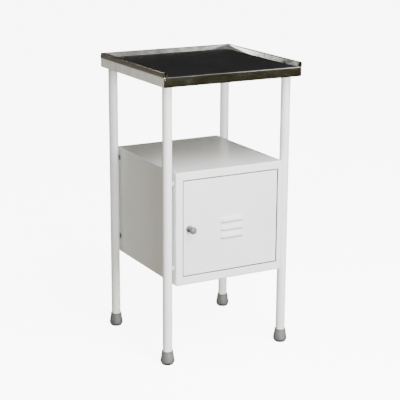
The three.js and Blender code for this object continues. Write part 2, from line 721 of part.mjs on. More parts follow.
// The screw from inside the door; its head rests on the skin's inner face.
function knobScrew() {
  const headFace = -SHEET - CLOSE_GAP;
  const end = KNOB_BORE_END - SCREW_TIP_GAP;
  return laidForward(
    turned([
      [0, headFace - SCREW_HEAD],
      [SCREW_HEAD_RADIUS - HEAD_BEVEL, headFace - SCREW_HEAD],
      [SCREW_HEAD_RADIUS, headFace - SCREW_HEAD + HEAD_BEVEL],
      [SCREW_HEAD_RADIUS, headFace],
      [SCREW_RADIUS, headFace],
      [SCREW_RADIUS, end],
      [0, end],
    ]),
  );
}

// The catch's striker: a plate at the door's back, with a leg along the door's left edge.
function catchStriker() {
  const left = DOOR_LEFT_X + SHEET;
  const outline = [
    [left, DOOR_BACK_Y],
    [left + STRIKER_WIDTH, DOOR_BACK_Y],
    [left + STRIKER_WIDTH, DOOR_BACK_Y - SHEET],
    [left + SHEET, DOOR_BACK_Y - SHEET],
    [left + SHEET, DOOR_BACK_Y - SHEET - STRIKER_LEG],
    [left, DOOR_BACK_Y - SHEET - STRIKER_LEG],
  ];
  const half = CATCH_PLATE_HEIGHT / 2;
  return alongZ(outline, DOOR_HEIGHT / 2 - half, DOOR_HEIGHT / 2 + half);
}

function door() {
  const group = new THREE.Group();
  const knobPlace = [DOOR_LEFT_X + KNOB_INSET, DOOR_FACE_Y, DOOR_HEIGHT / 2];
  group.add(
    piece("door_panel", doorPanel(), whiteEnamel),
    piece("catch_striker", catchStriker(), zincSteel),
    placed(piece("knob_rose", knobRose(), satinKnob), ...knobPlace),
    placed(piece("knob", knob(), satinKnob), ...knobPlace),
    placed(piece("knob_screw", knobScrew(), zincSteel), ...knobPlace),
  );
  return placed(group, PIVOT_X, PIVOT_Y, DOOR_BOTTOM);
}

// ---- Assembly ----

const cabinet = new THREE.Group();
cabinet.add(
  tray(),
  cupboard(),
  door(),
  leg("front_left", -LEG_X, LEG_FRONT_Y, whiteEnamel),
  leg("front_right", LEG_X, LEG_FRONT_Y, whiteEnamel),
  leg("back_left", -LEG_X, LEG_BACK_Y, greyVinyl),
  leg("back_right", LEG_X, LEG_BACK_Y, greyVinyl),
);

export default cabinet;
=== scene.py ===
"""Bedside cabinet: the looks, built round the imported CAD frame. Metres, +Z up, the door faces -Y."""

import math
from collections import namedtuple

import bmesh
import bpy
from mathutils import Matrix, Vector


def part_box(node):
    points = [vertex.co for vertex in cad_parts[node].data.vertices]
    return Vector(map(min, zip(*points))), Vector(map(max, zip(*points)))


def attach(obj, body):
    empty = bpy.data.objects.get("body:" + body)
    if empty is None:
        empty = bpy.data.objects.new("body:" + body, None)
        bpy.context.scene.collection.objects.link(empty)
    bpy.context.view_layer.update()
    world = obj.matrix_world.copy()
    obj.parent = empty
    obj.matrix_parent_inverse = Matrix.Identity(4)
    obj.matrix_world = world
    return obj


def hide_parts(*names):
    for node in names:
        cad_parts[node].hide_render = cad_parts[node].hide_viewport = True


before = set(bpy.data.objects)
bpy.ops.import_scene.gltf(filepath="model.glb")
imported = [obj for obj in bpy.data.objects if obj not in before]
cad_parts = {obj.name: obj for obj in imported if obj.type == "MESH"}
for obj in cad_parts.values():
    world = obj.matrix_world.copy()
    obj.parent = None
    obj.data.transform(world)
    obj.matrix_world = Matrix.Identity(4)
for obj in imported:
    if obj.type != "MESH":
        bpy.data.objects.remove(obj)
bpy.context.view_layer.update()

MM = 0.001
SCENE = bpy.context.scene

# ---- Sizes that the looks add to the frame. Tables of points are in millimetres ----

SMOOTH_ANGLE = 35  # degrees; edges sharper than this stay sharp
PAN_SMOOTH_ANGLE = 40
SAME_PLACE = 1e-6  # vertices closer than this are one
FOLD_STEPS = 5  # along a fold's arc
ROUND_SIDES = 64
WASHER_SIDES = 32
SCREW_SIDES = 24

PAINT_SHEET = 1.2 * MM
STEEL_SHEET = 1.0 * MM

# Tray top
TRAY_CORNER_RADIUS = 4.0 * MM
TRAY_CORNER_STEPS = 8
TRAY_CORNER_WRAP = 1.0 * MM  # how far the front trim and the back apron go on past their corners
SKIRT_SEAM = 0.15 * MM  # between a side apron and the pieces at its ends
SKIRT_TOP_BEVEL = 0.3 * MM
HEM = 0.8 * MM  # height of a skirt's rolled lower edge
HEM_OUTLINE = ((0.8, 0.2), (0.5, 0), (0.15, 0.2))  # below that height, from a skirt's outside and bottom
TRIM_NOSE = 2.0 * MM
TRIM_LEDGE = 0.6 * MM  # how far the front trim's sheet goes on behind its nose
NOSE_STEPS = 6
LIP_START = 1.6 * MM  # how far a lip's sheet goes up behind its skirt
LIP_REACH = 9 * MM
LIP_FOLD = 1.0 * MM
LIP_INSET = 0.05 * MM  # from the skirt's outside
LIP_END = 10 * MM  # from a lip's end to the tray's corner

# Rims
RIM_LEAN = 1.2 * MM  # how far a rim's outer side leans in
SIDE_RIM_INNER_LEAN = 3.0 * MM
BACK_RIM_INNER_LEAN = 1.7 * MM
RIM_KNEE = 0.4 * MM  # height above the tray's surface at which the outer side starts to lean
RIM_FOLD = 1.4 * MM
RIM_FOLD_INSIDE = 0.5 * MM
RIM_NOTCH = 0.3 * MM  # length of the step where a side rim's outer side comes down over the apron
MITRE_GAP = 0.05 * MM

# Legs and feet
TUBE_RADIUS = 12.7 * MM
TUBE_EDGE = 0.4 * MM
FOOT_MOUTH_RADIUS = 15.2 * MM
FOOT_BORE_RADIUS = 12.95 * MM
FOOT_FLOOR = 0.15  # thickness of a foot's floor, as a share of its height
# A foot's outside as (radius past its widest, height) points, and then, round its mouth, as (radius past
# the mouth's, depth below its top) points.
FOOT_BASE = ((-5.0, 0), (-4.3, 0.2), (-3.4, 1.2), (-1.2, 5.2), (-0.3, 8.0), (0, 10.0), (-0.15, 12.0))
FOOT_MOUTH = ((0.5, 5.4), (0.1, 4.4), (0.5, 3.6), (0.55, 1.4), (0.2, 0.4), (-0.5, 0))
FOOT_LIP = ((0.2, 0.1), (0, 0.6))  # inside the mouth, past the bore's radius
WELD_SIDES, WELD_STEPS = 48, 9
WELD_RADIUS = 1.3 * MM
WELD_OUT = 0.9 * MM  # from the tube's outside to the bead's middle line
WELD_DOWN = 0.6 * MM  # from the plate to that line
WELD_RIPPLE = 0.25 * MM
WELD_RIPPLES = 17
BROKEN_EDGE = 0.5 * MM  # of the leg plates and spacers
PLATE_SCREW_OFFSET = 14 * MM
PLATE_SCREW_HEAD = ((0, -2.1), (1.8, -2.0), (3.2, -1.4), (3.9, -0.5), (4.0, 0))
BOLT_HEAD = ((0, 0), (4.3, 0), (4.9, 0.5), (4.9, 2.8), (0, 2.8))
BOLT_WASHER = ((0, 2.8), (5.3, 2.8), (5.5, 3.0), (5.5, 3.6), (0, 3.6))
BOLT_SHANK = ((0, 2.8), (2.9, 2.8))
BOLT_TIP = ((2.9, 0.6), (2.4, 0), (0, 0))  # as (radius, distance from the bolt's end) points

# Cupboard
CORNER_RADIUS = 3.0 * MM  # the cupboard's upright corners
LID_RADIUS = 2.4 * MM
LID_DEPTH = 5.5 * MM
BASE_RADIUS = 4.5 * MM
BASE_DEPTH = BASE_RADIUS + 1.5 * MM
FRAME_WRAP = 5 * MM  # how far a stile goes on past the cupboard's front corner
PANEL_GAP = 0.1 * MM  # beside the stiles, and round the back panel
BACK_FLANGE = 14 * MM  # width of a side panel's part behind the cupboard
BACK_EDGE = 0.2 * MM
OPENING_FOLD = 0.9 * MM  # where the front frame folds in beside the door
OPENING_FOLD_INSIDE = 0.4 * MM
OPENING_DEPTH = 40 * MM
OPENING_MARGIN = 0.3 * MM
BEHIND_FACE = 1.1 * MM

# Door
DOOR_EDGE_RADIUS = 1.2 * MM
DOOR_EASE = 0.35 * MM  # how far the door's folded edges stand in from the frame's door
DOOR_EDGE_DEPTH = 1.4 * MM  # from the CAD door's outside to what counts as the door's inside
DOOR_FRONT_REACH = 60 * MM
PIN_HOLE_RADIUS = 2.7 * MM
PIN_DRILL_REACH = 3.0 * MM  # how far a pivot hole's cut goes on either side of the door's edge
STRIKER_EDGE = 0.3 * MM

# Louvres
LOUVRE_COUNT = 3
LOUVRE_LENGTH = 66 * MM
LOUVRE_HEIGHT = 18.5 * MM
LOUVRE_PITCH = 21.8 * MM
LOUVRE_RISE = 4.5 * MM
LOUVRE_SHIFT = 2.4 * MM  # from the door's middle to the louvres', to the right
LOUVRE_TOP_LIP = 4 * MM  # from the door's middle up to the upper louvre's lip
LOUVRE_SLOT = 2.7 * MM  # height of the opening under a lip
LOUVRE_END = 7 * MM  # length of a louvre's rounded end
LOUVRE_END_STEPS = 6
LOUVRE_MIDDLE_STEPS = 8
LOUVRE_ROWS = 16
LOUVRE_FULLNESS = 0.95  # highest point, as a share of the rise
END_ROUNDNESS = 1.5
SWELL_START, SWELL_LENGTH = 0.06, 0.62  # as shares of a louvre's height, from its top
DROOP_START, DROOP_LENGTH = 0.78, 0.22
DROOP = 0.16  # how much lower a louvre is at its lip, as a share of the rise

# Knob
ROSE_OUTLINE = ((-0.2, 0), (0, 0.3), (-0.1, 1.0), (-0.8, 1.7), (-2.2, 2.5), (-3.8, 3.2), (-4.2, 3.4))
ROSE_THICK = 3.4 * MM
KNOB_NECK = ((4.9, 3.5), (4.5, 4.6), (4.3, 7), (4.3, 11), (4.8, 13.5), (6.1, 15.8))
KNOB_SHOULDER = (-2.2, 18)  # (radius past the head's, distance from the door)
KNOB_HEAD_MIDDLE = 22 * MM  # from the door's face
KNOB_HEAD_STEPS = 8
KNOB_HEAD_BACK = 3  # steps of the head's curve behind its middle
KNOB_SQUARENESS = 0.75
KNOB_SCREW_HEAD = ((0, 0), (2.2, 0.1), (3.4, 0.7), (4.0, 1.6), (4.0, 2.4), (1.9, 2.4))
KNOB_SCREW_TIP = ((1.9, 0.5), (1.5, 0), (0, 0))  # as (radius, distance from the screw's end) points


# ---- Camera, floor and light ----

CAMERA_PLACE = Vector((-1.5493, -2.8431, 1.2812))
CAMERA_AIM = Vector((0.4620, 0.8468, -0.2634))
CAMERA_UP = Vector((0.1216, 0.2337, 0.9647))
CAMERA_LENS = 108.6
CAMERA_SENSOR = 36.0

# The room, as colours by direction. Azimuths are degrees from +Y towards +X; heights are the sines of
# elevations. A span of two heights is where one colour fades into the next.
FLOOR_BEHIND = (0.80, 0.78, 0.71)
FLOOR_BEFORE = (0.045, 0.04, 0.018)
WALL_LOW = (0.12, 0.11, 0.087)
WALL_HIGH = (0.04, 0.037, 0.026)
WALL_BEFORE = (0.30, 0.30, 0.29)
SKY_BEHIND = (0.10, 0.10, 0.095)
SKY_BEFORE = (0.5, 0.51, 0.53)
FLOOR_BEHIND_SPAN = (-0.145, -0.095)
FLOOR_BEFORE_SPAN = (-0.11, -0.03)
WALL_SPAN = (-0.06, 0.12)
SKY_SPAN = (0.3, 0.75)
FRONT_SPAN = (0.25, -0.25)

Window = namedtuple("Window", "azimuth half_width low high colour edge edge_height")
WINDOWS = (
    Window(-80, 28, 0.0, 0.3, (1.68, 1.38, 0.92), 12, 0.08),
    Window(141.4, 7.0, -0.06, 0.16, (10.0, 10.0, 9.7), 3, 0.02),
    Window(-29.1, 2.3, 0.06, 0.17, (8.0, 8.0, 7.8), 0.6, 0.015),
    Window(125, 18, 0.4, 0.8, (1.5, 1.5, 1.45), 8, 0.1),
    Window(-21.5, 1.5, -0.19, -0.1, (0.35, 0.34, 0.31), 2.0, 0.03),
)

STAGE_REACH = 14.0
STAGE_SIDES = 96
FLOOR = ((STAGE_REACH, 0.0), (3.0, 0.0), (0.0, 0.0))
BACKDROP = ((STAGE_REACH, 0.0), (STAGE_REACH, 9.0), (0.0, 12.0))

LIGHT_AIM = (0, 0, 0.45)


def make_camera():
    data = bpy.data.cameras.new("camera")
    data.lens = CAMERA_LENS
    data.sensor_width = CAMERA_SENSOR
    camera = bpy.data.objects.new("camera", data)
    back = -CAMERA_AIM.normalized()
    right = CAMERA_UP.cross(back).normalized()
    camera.matrix_world = place_of(CAMERA_PLACE, right, back.cross(right), back)
    SCENE.collection.objects.link(camera)
    SCENE.camera = camera


def soft_light(name, place, size, watts):
    """A softbox that the camera doesn't see, aimed at the middle of the object."""
    data = bpy.data.lights.new(name, "AREA")
    data.shape = "RECTANGLE"
    data.size, data.size_y = size
    data.energy = watts
    light = bpy.data.objects.new(name, data)
    light.location = place
    light.rotation_euler = (Vector(LIGHT_AIM) - Vector(place)).to_track_quat("-Z", "Y").to_euler()
    light.visible_camera = False
    SCENE.collection.objects.link(light)


class Nodes:
    """A node tree with short helpers. A value is a number, a colour or another node's output."""

    def __init__(self, tree):
        self.nodes = tree.nodes
        self.link = tree.links.new

    def feed(self, socket, value):
        if isinstance(value, (int, float)):
            socket.default_value = value
        elif isinstance(value, tuple):
            socket.default_value = (*value, 1)
        else:
            self.link(value, socket)

    def node(self, kind, inputs):
        node = self.nodes.new("ShaderNode" + kind)
        for name, value in inputs.items():
            self.feed(node.inputs[name], value)
        return node

    def math(self, kind, *values):
        node = self.node("Math", {})
        node.operation = kind
        for socket, value in zip(node.inputs, values):
            self.feed(socket, value)
        return node.outputs[0]

    def map(self, value, low, high, to_low=0.0, to_high=1.0, smooth=False):
        ends = {"From Min": low, "From Max": high, "To Min": to_low, "To Max": to_high}
        node = self.node("MapRange", {"Value": value, **ends})
        node.interpolation_type = "SMOOTHSTEP" if smooth else "LINEAR"
        return node.outputs["Result"]

    def mix(self, factor, first, second):
        """The first colour where the factor is 0, fading to the second where it is 1."""
        node = self.node("Mix", {"Factor": factor})
        node.data_type = "RGBA"
        for name, colour in (("A", first), ("B", second)):
            self.feed([s for s in node.inputs if s.name == name and s.type == "RGBA"][0], colour)
        return [s for s in node.outputs if s.type == "RGBA"][0]

    def split(self, vector):
        return self.node("SeparateXYZ", {"Vector": vector}).outputs


def make_world():
    """The room: a light floor behind the object, a dark one in front, and pale windows.

    Steel and enamel show it.
    """
    world = bpy.data.worlds.new("room")
    world.use_nodes = True
    SCENE.world = world
    sky = Nodes(world.node_tree)
    direction = sky.split(sky.nodes.new("ShaderNodeTexCoord").outputs["Generated"])
    height = direction["Z"]
    azimuth = sky.math("DEGREES", sky.math("ARCTAN2", direction["X"], direction["Y"]))

    def ramp(value, low, high):
        return sky.map(value, low, high, smooth=True)

    def with_window(room, window):
        """The room with a patch of another brightness, with soft edges."""
        offset = sky.math("ABSOLUTE", sky.math("SUBTRACT", azimuth, window.azimuth))
        across = ramp(offset, window.half_width + window.edge, window.half_width - window.edge)
        above = ramp(height, window.low - window.edge_height, window.low + window.edge_height)
        below = ramp(height, window.high + window.edge_height, window.high - window.edge_height)
        patch = sky.math("MULTIPLY", across, sky.math("MULTIPLY", above, below))
        return sky.mix(patch, room, window.colour)

    to_front = ramp(direction["Y"], *FRONT_SPAN)
    wall = sky.mix(ramp(height, *WALL_SPAN), WALL_LOW, WALL_HIGH)
    behind = sky.mix(ramp(height, *FLOOR_BEHIND_SPAN), FLOOR_BEHIND, wall)
    before = sky.mix(ramp(height, *FLOOR_BEFORE_SPAN), FLOOR_BEFORE, WALL_BEFORE)
    room = sky.mix(to_front, behind, before)
    for window in WINDOWS:
        room = with_window(room, window)
    overhead = sky.mix(to_front, SKY_BEHIND, SKY_BEFORE)
    everywhere = sky.mix(ramp(height, *SKY_SPAN), room, overhead)
    sky.link(everywhere, sky.nodes["Background"].inputs["Color"])


def make_stage():
    """A pale floor and a pale backdrop that only the camera sees. The object's shadow falls on the floor."""
    shapes = (
        ("floor", FLOOR, (0.82, 0.82, 0.82), 8.0),
        ("backdrop", BACKDROP, (0.0, 0.0, 0.0), 9.5),
    )
    for name, outline, colour, glow in shapes:
        stage = lathe(name, outline, Matrix.Identity(4), STAGE_SIDES)
        material = bpy.data.materials.new(name)
        material.use_nodes = True
        shader = material.node_tree.nodes["Principled BSDF"]
        shader.inputs["Base Color"].default_value = (*colour, 1)
        shader.inputs["Roughness"].default_value = 0.9
        shader.inputs["Specular IOR Level"].default_value = 0.0
        shader.inputs["Emission Color"].default_value = (1, 1, 1, 1)
        shader.inputs["Emission Strength"].default_value = glow
        stage.data.materials.append(material)
        stage.visible_diffuse = False
        stage.visible_glossy = False
        stage.visible_shadow = False


# ---- Mesh helpers ----


def in_metres(points):
    return [(first * MM, second * MM) for first, second in points]


def middle_of(node):
    return [(low + high) / 2 for low, high in zip(*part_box(node))]


def new_object(name, mesh):
    mesh.validate()
    thing = bpy.data.objects.new(name, mesh)
    SCENE.collection.objects.link(thing)
    return thing


def to_mesh(name, bm):
    mesh = bpy.data.meshes.new(name)
    bm.to_mesh(mesh)
    bm.free()
    return mesh


def shade_smooth(mesh, degrees=SMOOTH_ANGLE):
    for polygon in mesh.polygons:
        polygon.use_smooth = True
    mesh.set_sharp_from_angle(angle=math.radians(degrees))


def from_bmesh(name, bm):
    bmesh.ops.remove_doubles(bm, verts=bm.verts, dist=SAME_PLACE)
    bmesh.ops.recalc_face_normals(bm, faces=bm.faces)
    mesh = to_mesh(name, bm)
    shade_smooth(mesh)
    return new_object(name, mesh)


def delete(thing):
    mesh = thing.data
    bpy.data.objects.remove(thing)
    bpy.data.meshes.remove(mesh)


def modify(thing, kind, **settings):
    """Applies a modifier to an object's mesh."""
    modifier = thing.modifiers.new(kind.lower(), kind)
    for setting, value in settings.items():
        setattr(modifier, setting, value)
    graph = bpy.context.evaluated_depsgraph_get()
    done = bpy.data.meshes.new_from_object(thing.evaluated_get(graph))
    thing.modifiers.clear()
    old = thing.data
    thing.data = done
    bpy.data.meshes.remove(old)


def rounded(points):
    """A closed outline whose corners are arcs. Each point is (a, b) or (a, b, radius)."""
    result = []
    count = len(points)
    for i, point in enumerate(points):
        here = Vector(point[:2])
        if len(point) < 3:
            result.append(here)
            continue
        radius = point[2]
        before = (Vector(points[i - 1][:2]) - here).normalized()
        after = (Vector(points[(i + 1) % count][:2]) - here).normalized()
        half = before.angle(after) / 2
        reach = radius / math.tan(half)
        centre = here + (before + after).normalized() * (radius / math.sin(half))
        start, end = here + before * reach - centre, here + after * reach - centre
        sweep = start.angle_signed(end)
        for step in range(FOLD_STEPS + 1):
            turn = Matrix.Rotation(-sweep * step / FOLD_STEPS, 2)
            result.append(centre + turn @ start)
    return result


def skin(name, rings):
    """A closed body over a row of equal rings, each a list of places."""
    bm = bmesh.new()
    rows = [[bm.verts.new(place) for place in ring] for ring in rings]
    count = len(rows[0])
    for first, second in zip(rows, rows[1:]):
        for i in range(count):
            j = (i + 1) % count
            bm.faces.new((first[i], first[j], second[j], second[i]))
    bm.faces.new(rows[0])
    bm.faces.new(list(reversed(rows[-1])))
    return from_bmesh(name, bm)


def drawn(name, outline, axis, low, high, mitre=lambda point: 0.0):
    """An outline drawn out along an axis. mitre gives how far both ends stand in at an outline point."""

    def place(point, along):
        first, second = point
        return {"x": (along, first, second), "y": (first, along, second), "z": (first, second, along)}[axis]

    low_ring = [place(point, low + mitre(point)) for point in outline]
    high_ring = [place(point, high - mitre(point)) for point in outline]
    return skin(name, [low_ring, high_ring])


def lathe(name, outline, place, sides, closed=False):
    """A surface turned round the local Z axis from (radius, height) points, set by a matrix."""
    bm = bmesh.new()
    rings = []
    for radius, height in outline:
        if radius < SAME_PLACE:
            rings.append([bm.verts.new((0, 0, height))])
            continue
        ring = []
        for i in range(sides):
            angle = 2 * math.pi * i / sides
            ring.append(bm.verts.new((radius * math.cos(angle), radius * math.sin(angle), height)))
        rings.append(ring)
    pairs = list(zip(rings, rings[1:]))
    if closed:
        pairs.append((rings[-1], rings[0]))
    for lower, upper in pairs:
        for i in range(sides):
            j = (i + 1) % sides
            corners = [lower[i % len(lower)], lower[j % len(lower)]]
            corners += [upper[j % len(upper)], upper[i % len(upper)]]
            unique = list(dict.fromkeys(corners))
            if len(unique) > 2:
                bm.faces.new(unique)
    bmesh.ops.transform(bm, matrix=place, verts=bm.verts)
    return from_bmesh(name, bm)


def softened(node, name, width):
    """A CAD node's shape with its flat faces joined up and its edges broken."""
    bm = bmesh.new()
    bm.from_mesh(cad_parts[node].data)
    bmesh.ops.remove_doubles(bm, verts=bm.verts, dist=SAME_PLACE)
    bmesh.ops.dissolve_limit(bm, angle_limit=math.radians(1), verts=bm.verts, edges=bm.edges)
    thing = from_bmesh(name, bm)
    modify(thing, "BEVEL", width=width, segments=2, limit_method="ANGLE", angle_limit=math.radians(30))
    shade_smooth(thing.data)
    return thing


def drill(thing, x, y, low, high, radius):
    """Cuts a round hole along Z through a closed object."""
    outline = [(0, low), (radius, low), (radius, high), (0, high)]
    bit = lathe("drill", outline, Matrix.Translation((x, y, 0)), SCREW_SIDES)
    modify(thing, "BOOLEAN", operation="DIFFERENCE", solver="EXACT", object=bit)
    delete(bit)
    thing.data.set_sharp_from_angle(angle=math.radians(PAN_SMOOTH_ANGLE))


def join(name, things):
    """One object from several, keeping each one's mesh where it is."""
    bm = bmesh.new()
    for thing in things:
        bm.from_mesh(thing.data)
        delete(thing)
    return new_object(name, to_mesh(name, bm))


def place_of(origin, x_axis, y_axis, z_axis):
    turn = Matrix((x_axis, y_axis, z_axis)).transposed().to_4x4()
    return Matrix.Translation(Vector(origin)) @ turn


def facing_front(origin):
    """A place whose local Z axis points out of the door's face."""
    return place_of(origin, (1, 0, 0), (0, 0, 1), (0, -1, 0))


def quarter_turn(start, steps):
    """Directions that fan through a quarter turn."""
    angles = [start + math.pi / 2 * k / steps for k in range(steps + 1)]
    return [(math.cos(angle), math.sin(angle)) for angle in angles]


def pan_loop(grid, last_x, last_y):
    """The edge of a grid of vertices as [(vertex, [outward directions])], with a fan at each corner."""
    sides = (
        (math.pi, (0, -1), [(i, 0) for i in range(last_x)]),
        (-math.pi / 2, (1, 0), [(last_x, j) for j in range(last_y)]),
        (0, (0, 1), [(i, last_y) for i in range(last_x, 0, -1)]),
        (math.pi / 2, (-1, 0), [(0, j) for j in range(last_y, 0, -1)]),
    )
    loop = []
    for start, way, (corner, *others) in sides:
        loop.append((grid[corner], quarter_turn(start, FOLD_STEPS)))
        loop += [(grid[spot], [way]) for spot in others]
    return loop


def fold_back(bm, loop, radius, depth):
    """Folds the edge of a flat sheet at z = 0 back by depth. loop is [(vertex, [outward directions])]."""
    flat = [(vertex, way) for vertex, ways in loop for way in ways]
    rings = [[vertex for vertex, _ in flat]]
    angles = [math.pi / 2 * k / FOLD_STEPS for k in range(1, FOLD_STEPS + 1)]
    offsets = [(radius * math.sin(angle), -radius * (1 - math.cos(angle))) for angle in angles]
    offsets.append((radius, -depth))
    for out, down in offsets:
        rings.append([bm.verts.new(v.co + Vector((w[0] * out, w[1] * out, down))) for v, w in flat])
    count = len(flat)
    for inner, outer in zip(rings, rings[1:]):
        for i in range(count):
            j = (i + 1) % count
            bm.faces.new(list(dict.fromkeys((inner[i], inner[j], outer[j], outer[i]))))


def pan(name, xs, ys, radius, depth, place, height_at=None, slits=()):
    """A painted sheet pan with a rounded, folded edge. xs and ys are the grid lines of its flat face.

    height_at gives a raised height for a grid point. slits holds (x low, x high, lip, lower edge): the sheet
    is raised above the lip, and open from there down to the lower edge.
    """
    bm = bmesh.new()

    def is_open(x, y):
        return any(low < x < high and bottom < y < lip for low, high, lip, bottom in slits)

    grid = {}
    for i, x in enumerate(xs):
        for j, y in enumerate(ys):
            grid[i, j] = bm.verts.new((x, y, height_at(x, y) if height_at else 0.0))
    last_x, last_y = len(xs) - 1, len(ys) - 1
    for i in range(last_x):
        for j in range(last_y):
            if not is_open((xs[i] + xs[i + 1]) / 2, (ys[j] + ys[j + 1]) / 2):
                bm.faces.new((grid[i, j], grid[i + 1, j], grid[i + 1, j + 1], grid[i, j + 1]))
    fold_back(bm, pan_loop(grid, last_x, last_y), radius, depth)
    bmesh.ops.recalc_face_normals(bm, faces=bm.faces)
    bmesh.ops.transform(bm, matrix=place, verts=bm.verts)
    thing = new_object(name, to_mesh(name, bm))
    face_out = place.to_3x3() @ Vector((0, 0, 1))
    biggest = max(thing.data.polygons, key=lambda polygon: polygon.area)
    if biggest.normal.dot(face_out) < 0:
        thing.data.flip_normals()
    modify(thing, "SOLIDIFY", thickness=PAINT_SHEET, offset=-1, use_even_offset=True)
    shade_smooth(thing.data, PAN_SMOOTH_ANGLE)
    return thing


# ---- Materials ----

WHITE = (0.845, 0.876, 0.868)
AGED_WHITE = (0.80, 0.805, 0.775)
LEG_WHITE = (0.86, 0.868, 0.858)
AGED_LEG_WHITE = (0.80, 0.80, 0.775)
# The leg white greyed down for the front spacers: painted shade for the shaded gap beside each leg.
SHADED_SPACER_WHITE = (0.62, 0.628, 0.615)
AGED_SHADED_SPACER_WHITE = (0.52, 0.52, 0.5)
# Painted shade: dark colours for the surfaces inside the door gaps, where shade falls.
FRAME_GAP_SHADE = (0.035, 0.035, 0.034)
DOOR_GAP_SHADE = (0.1, 0.1, 0.098)
STAINLESS = (0.74, 0.73, 0.70)
BLACK = (0.0115, 0.0115, 0.012)
DUST = (0.034, 0.034, 0.033)
GREY_VINYL = (0.138, 0.138, 0.134)
SCUFF = (0.045, 0.044, 0.041)
BASE_DIRT_AND_SHADE = (0.02, 0.02, 0.019)
PALE_CHIP = (0.50, 0.37, 0.22)
DARK_CHIP = (0.27, 0.18, 0.1)
CHIP_DUST = (0.38, 0.29, 0.19)


def scaled(colour, factor):
    return tuple(factor * channel for channel in colour)


class Look(Nodes):
    """A material's node tree. Detail sizes are in metres, and noise scales are in waves to the metre."""

    def __init__(self, name, colour, roughness, metallic=0.0):
        self.material = bpy.data.materials.new(name)
        self.material.use_nodes = True
        super().__init__(self.material.node_tree)
        self.shader = self.nodes["Principled BSDF"]
        for socket, value in (("Base Color", colour), ("Roughness", roughness), ("Metallic", metallic)):
            self.feed(self.shader.inputs[socket], value)
        self.place = self.nodes.new("ShaderNodeTexCoord").outputs["Object"]
        self.normal = None

    def stretched(self, scale):
        mapping = self.node("Mapping", {"Vector": self.place})
        mapping.inputs["Scale"].default_value = scale
        return mapping.outputs["Vector"]

    def noise(self, scale, detail=3.0, rough=0.5, stretch=(1, 1, 1)):
        inputs = {"Vector": self.stretched(stretch), "Scale": scale, "Detail": detail, "Roughness": rough}
        return self.node("TexNoise", inputs).outputs["Fac"]

    def colour(self, value):
        self.link(value, self.shader.inputs["Base Color"])

    def roughness(self, value):
        self.link(value, self.shader.inputs["Roughness"])

    def bump(self, value, distance, strength):
        node = self.node("Bump", {"Height": value, "Distance": distance, "Strength": strength})
        if self.normal is not None:
            self.link(self.normal, node.inputs["Normal"])
        self.normal = node.outputs["Normal"]
        self.link(self.normal, self.shader.inputs["Normal"])

    def within(self, low, high, soft):
        """1 inside the box between two corners, fading to 0 over a soft distance outside it."""
        place = self.split(self.place)
        mask = 1.0
        for axis, start, end in zip("XYZ", low, high):
            after = self.map(place[axis], start - soft, start)
            before = self.map(place[axis], end, end + soft, 1.0, 0.0)
            mask = self.math("MULTIPLY", mask, self.math("MULTIPLY", after, before))
        return mask


def door_opening():
    """Two corners of the space behind the front of the door opening, which gets painted gap shade."""
    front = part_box("left_stile")[0].y
    left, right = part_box("left_stile")[1].x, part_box("right_stile")[0].x
    bottom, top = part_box("bottom_rail")[1].z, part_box("top_rail")[0].z
    low = (left - OPENING_MARGIN, front + BEHIND_FACE, bottom - OPENING_MARGIN)
    high = (right + OPENING_MARGIN, front + OPENING_DEPTH, top + OPENING_MARGIN)
    return low, high


def door_inside():
    """Two corners of a space that holds all of the door but the outsides of its folded edges."""
    low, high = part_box("door_panel")
    inset = Vector((DOOR_EDGE_DEPTH, -DOOR_FRONT_REACH, DOOR_EDGE_DEPTH))
    return low + inset, high - inset


def enamel(name, colour, worn, roughness, gap_shade=None, except_in=None):
    """Baked enamel: faint orange peel, uneven gloss, slight ageing and a few small specks.

    Where gap_shade is given, that dark colour is painted in, mottled, as shade on the surfaces behind the
    front of the door opening, except inside the box except_in.
    """
    look = Look(name, colour, roughness)
    patches = look.noise(scale=6.0, detail=4.0)
    aged = look.mix(look.map(patches, 0.35, 0.7, 0.0, 0.5), colour, worn)
    specks = look.map(look.noise(scale=260.0, detail=2.0), 0.77, 0.8, 0.0, 0.35)
    paint = look.mix(specks, aged, scaled(worn, 0.7))
    # Painted shade in the gaps round the door, mottled with noise.
    if gap_shade is not None:
        gap_shade_mask = look.within(*door_opening(), soft=0.8 * MM)
        if except_in is not None:
            elsewhere = look.math("SUBTRACT", 1.0, look.within(*except_in, soft=0.4 * MM))
            gap_shade_mask = look.math("MULTIPLY", gap_shade_mask, elsewhere)
        mottled = look.mix(look.noise(scale=140.0), gap_shade, scaled(gap_shade, 1.6))
        paint = look.mix(gap_shade_mask, paint, mottled)
    look.colour(paint)
    smears = look.noise(scale=18.0, detail=4.0, rough=0.6)
    look.roughness(look.map(smears, 0.3, 0.75, roughness - 0.04, roughness + 0.12))
    look.bump(look.noise(scale=420.0, detail=2.0), distance=0.06 * MM, strength=0.35)
    look.bump(look.noise(scale=9.0, detail=1.0), distance=0.6 * MM, strength=0.25)
    look.shader.inputs["Coat Weight"].default_value = 0.25
    look.shader.inputs["Coat Roughness"].default_value = 0.12
    return look.material


def polished_steel(name, along, roughness):
    """Stainless sheet with fine grain along one axis, smears and a few scratches."""
    stretch = [900.0, 900.0, 900.0]
    stretch["xyz".index(along)] = 12.0
    look = Look(name, STAINLESS, roughness, metallic=1.0)
    grain = look.noise(scale=1.0, detail=3.0, rough=0.6, stretch=tuple(stretch))
    smears = look.noise(scale=26.0, detail=4.0, rough=0.6)
    even = look.map(smears, 0.3, 0.7, roughness - 0.03, roughness + 0.06)
    look.roughness(look.math("ADD", even, look.map(grain, 0.3, 0.7, -0.02, 0.03)))
    look.colour(look.mix(look.map(smears, 0.4, 0.75, 0.0, 0.7), STAINLESS, scaled(STAINLESS, 0.86)))
    look.bump(grain, distance=0.03 * MM, strength=0.3)
    return look.material


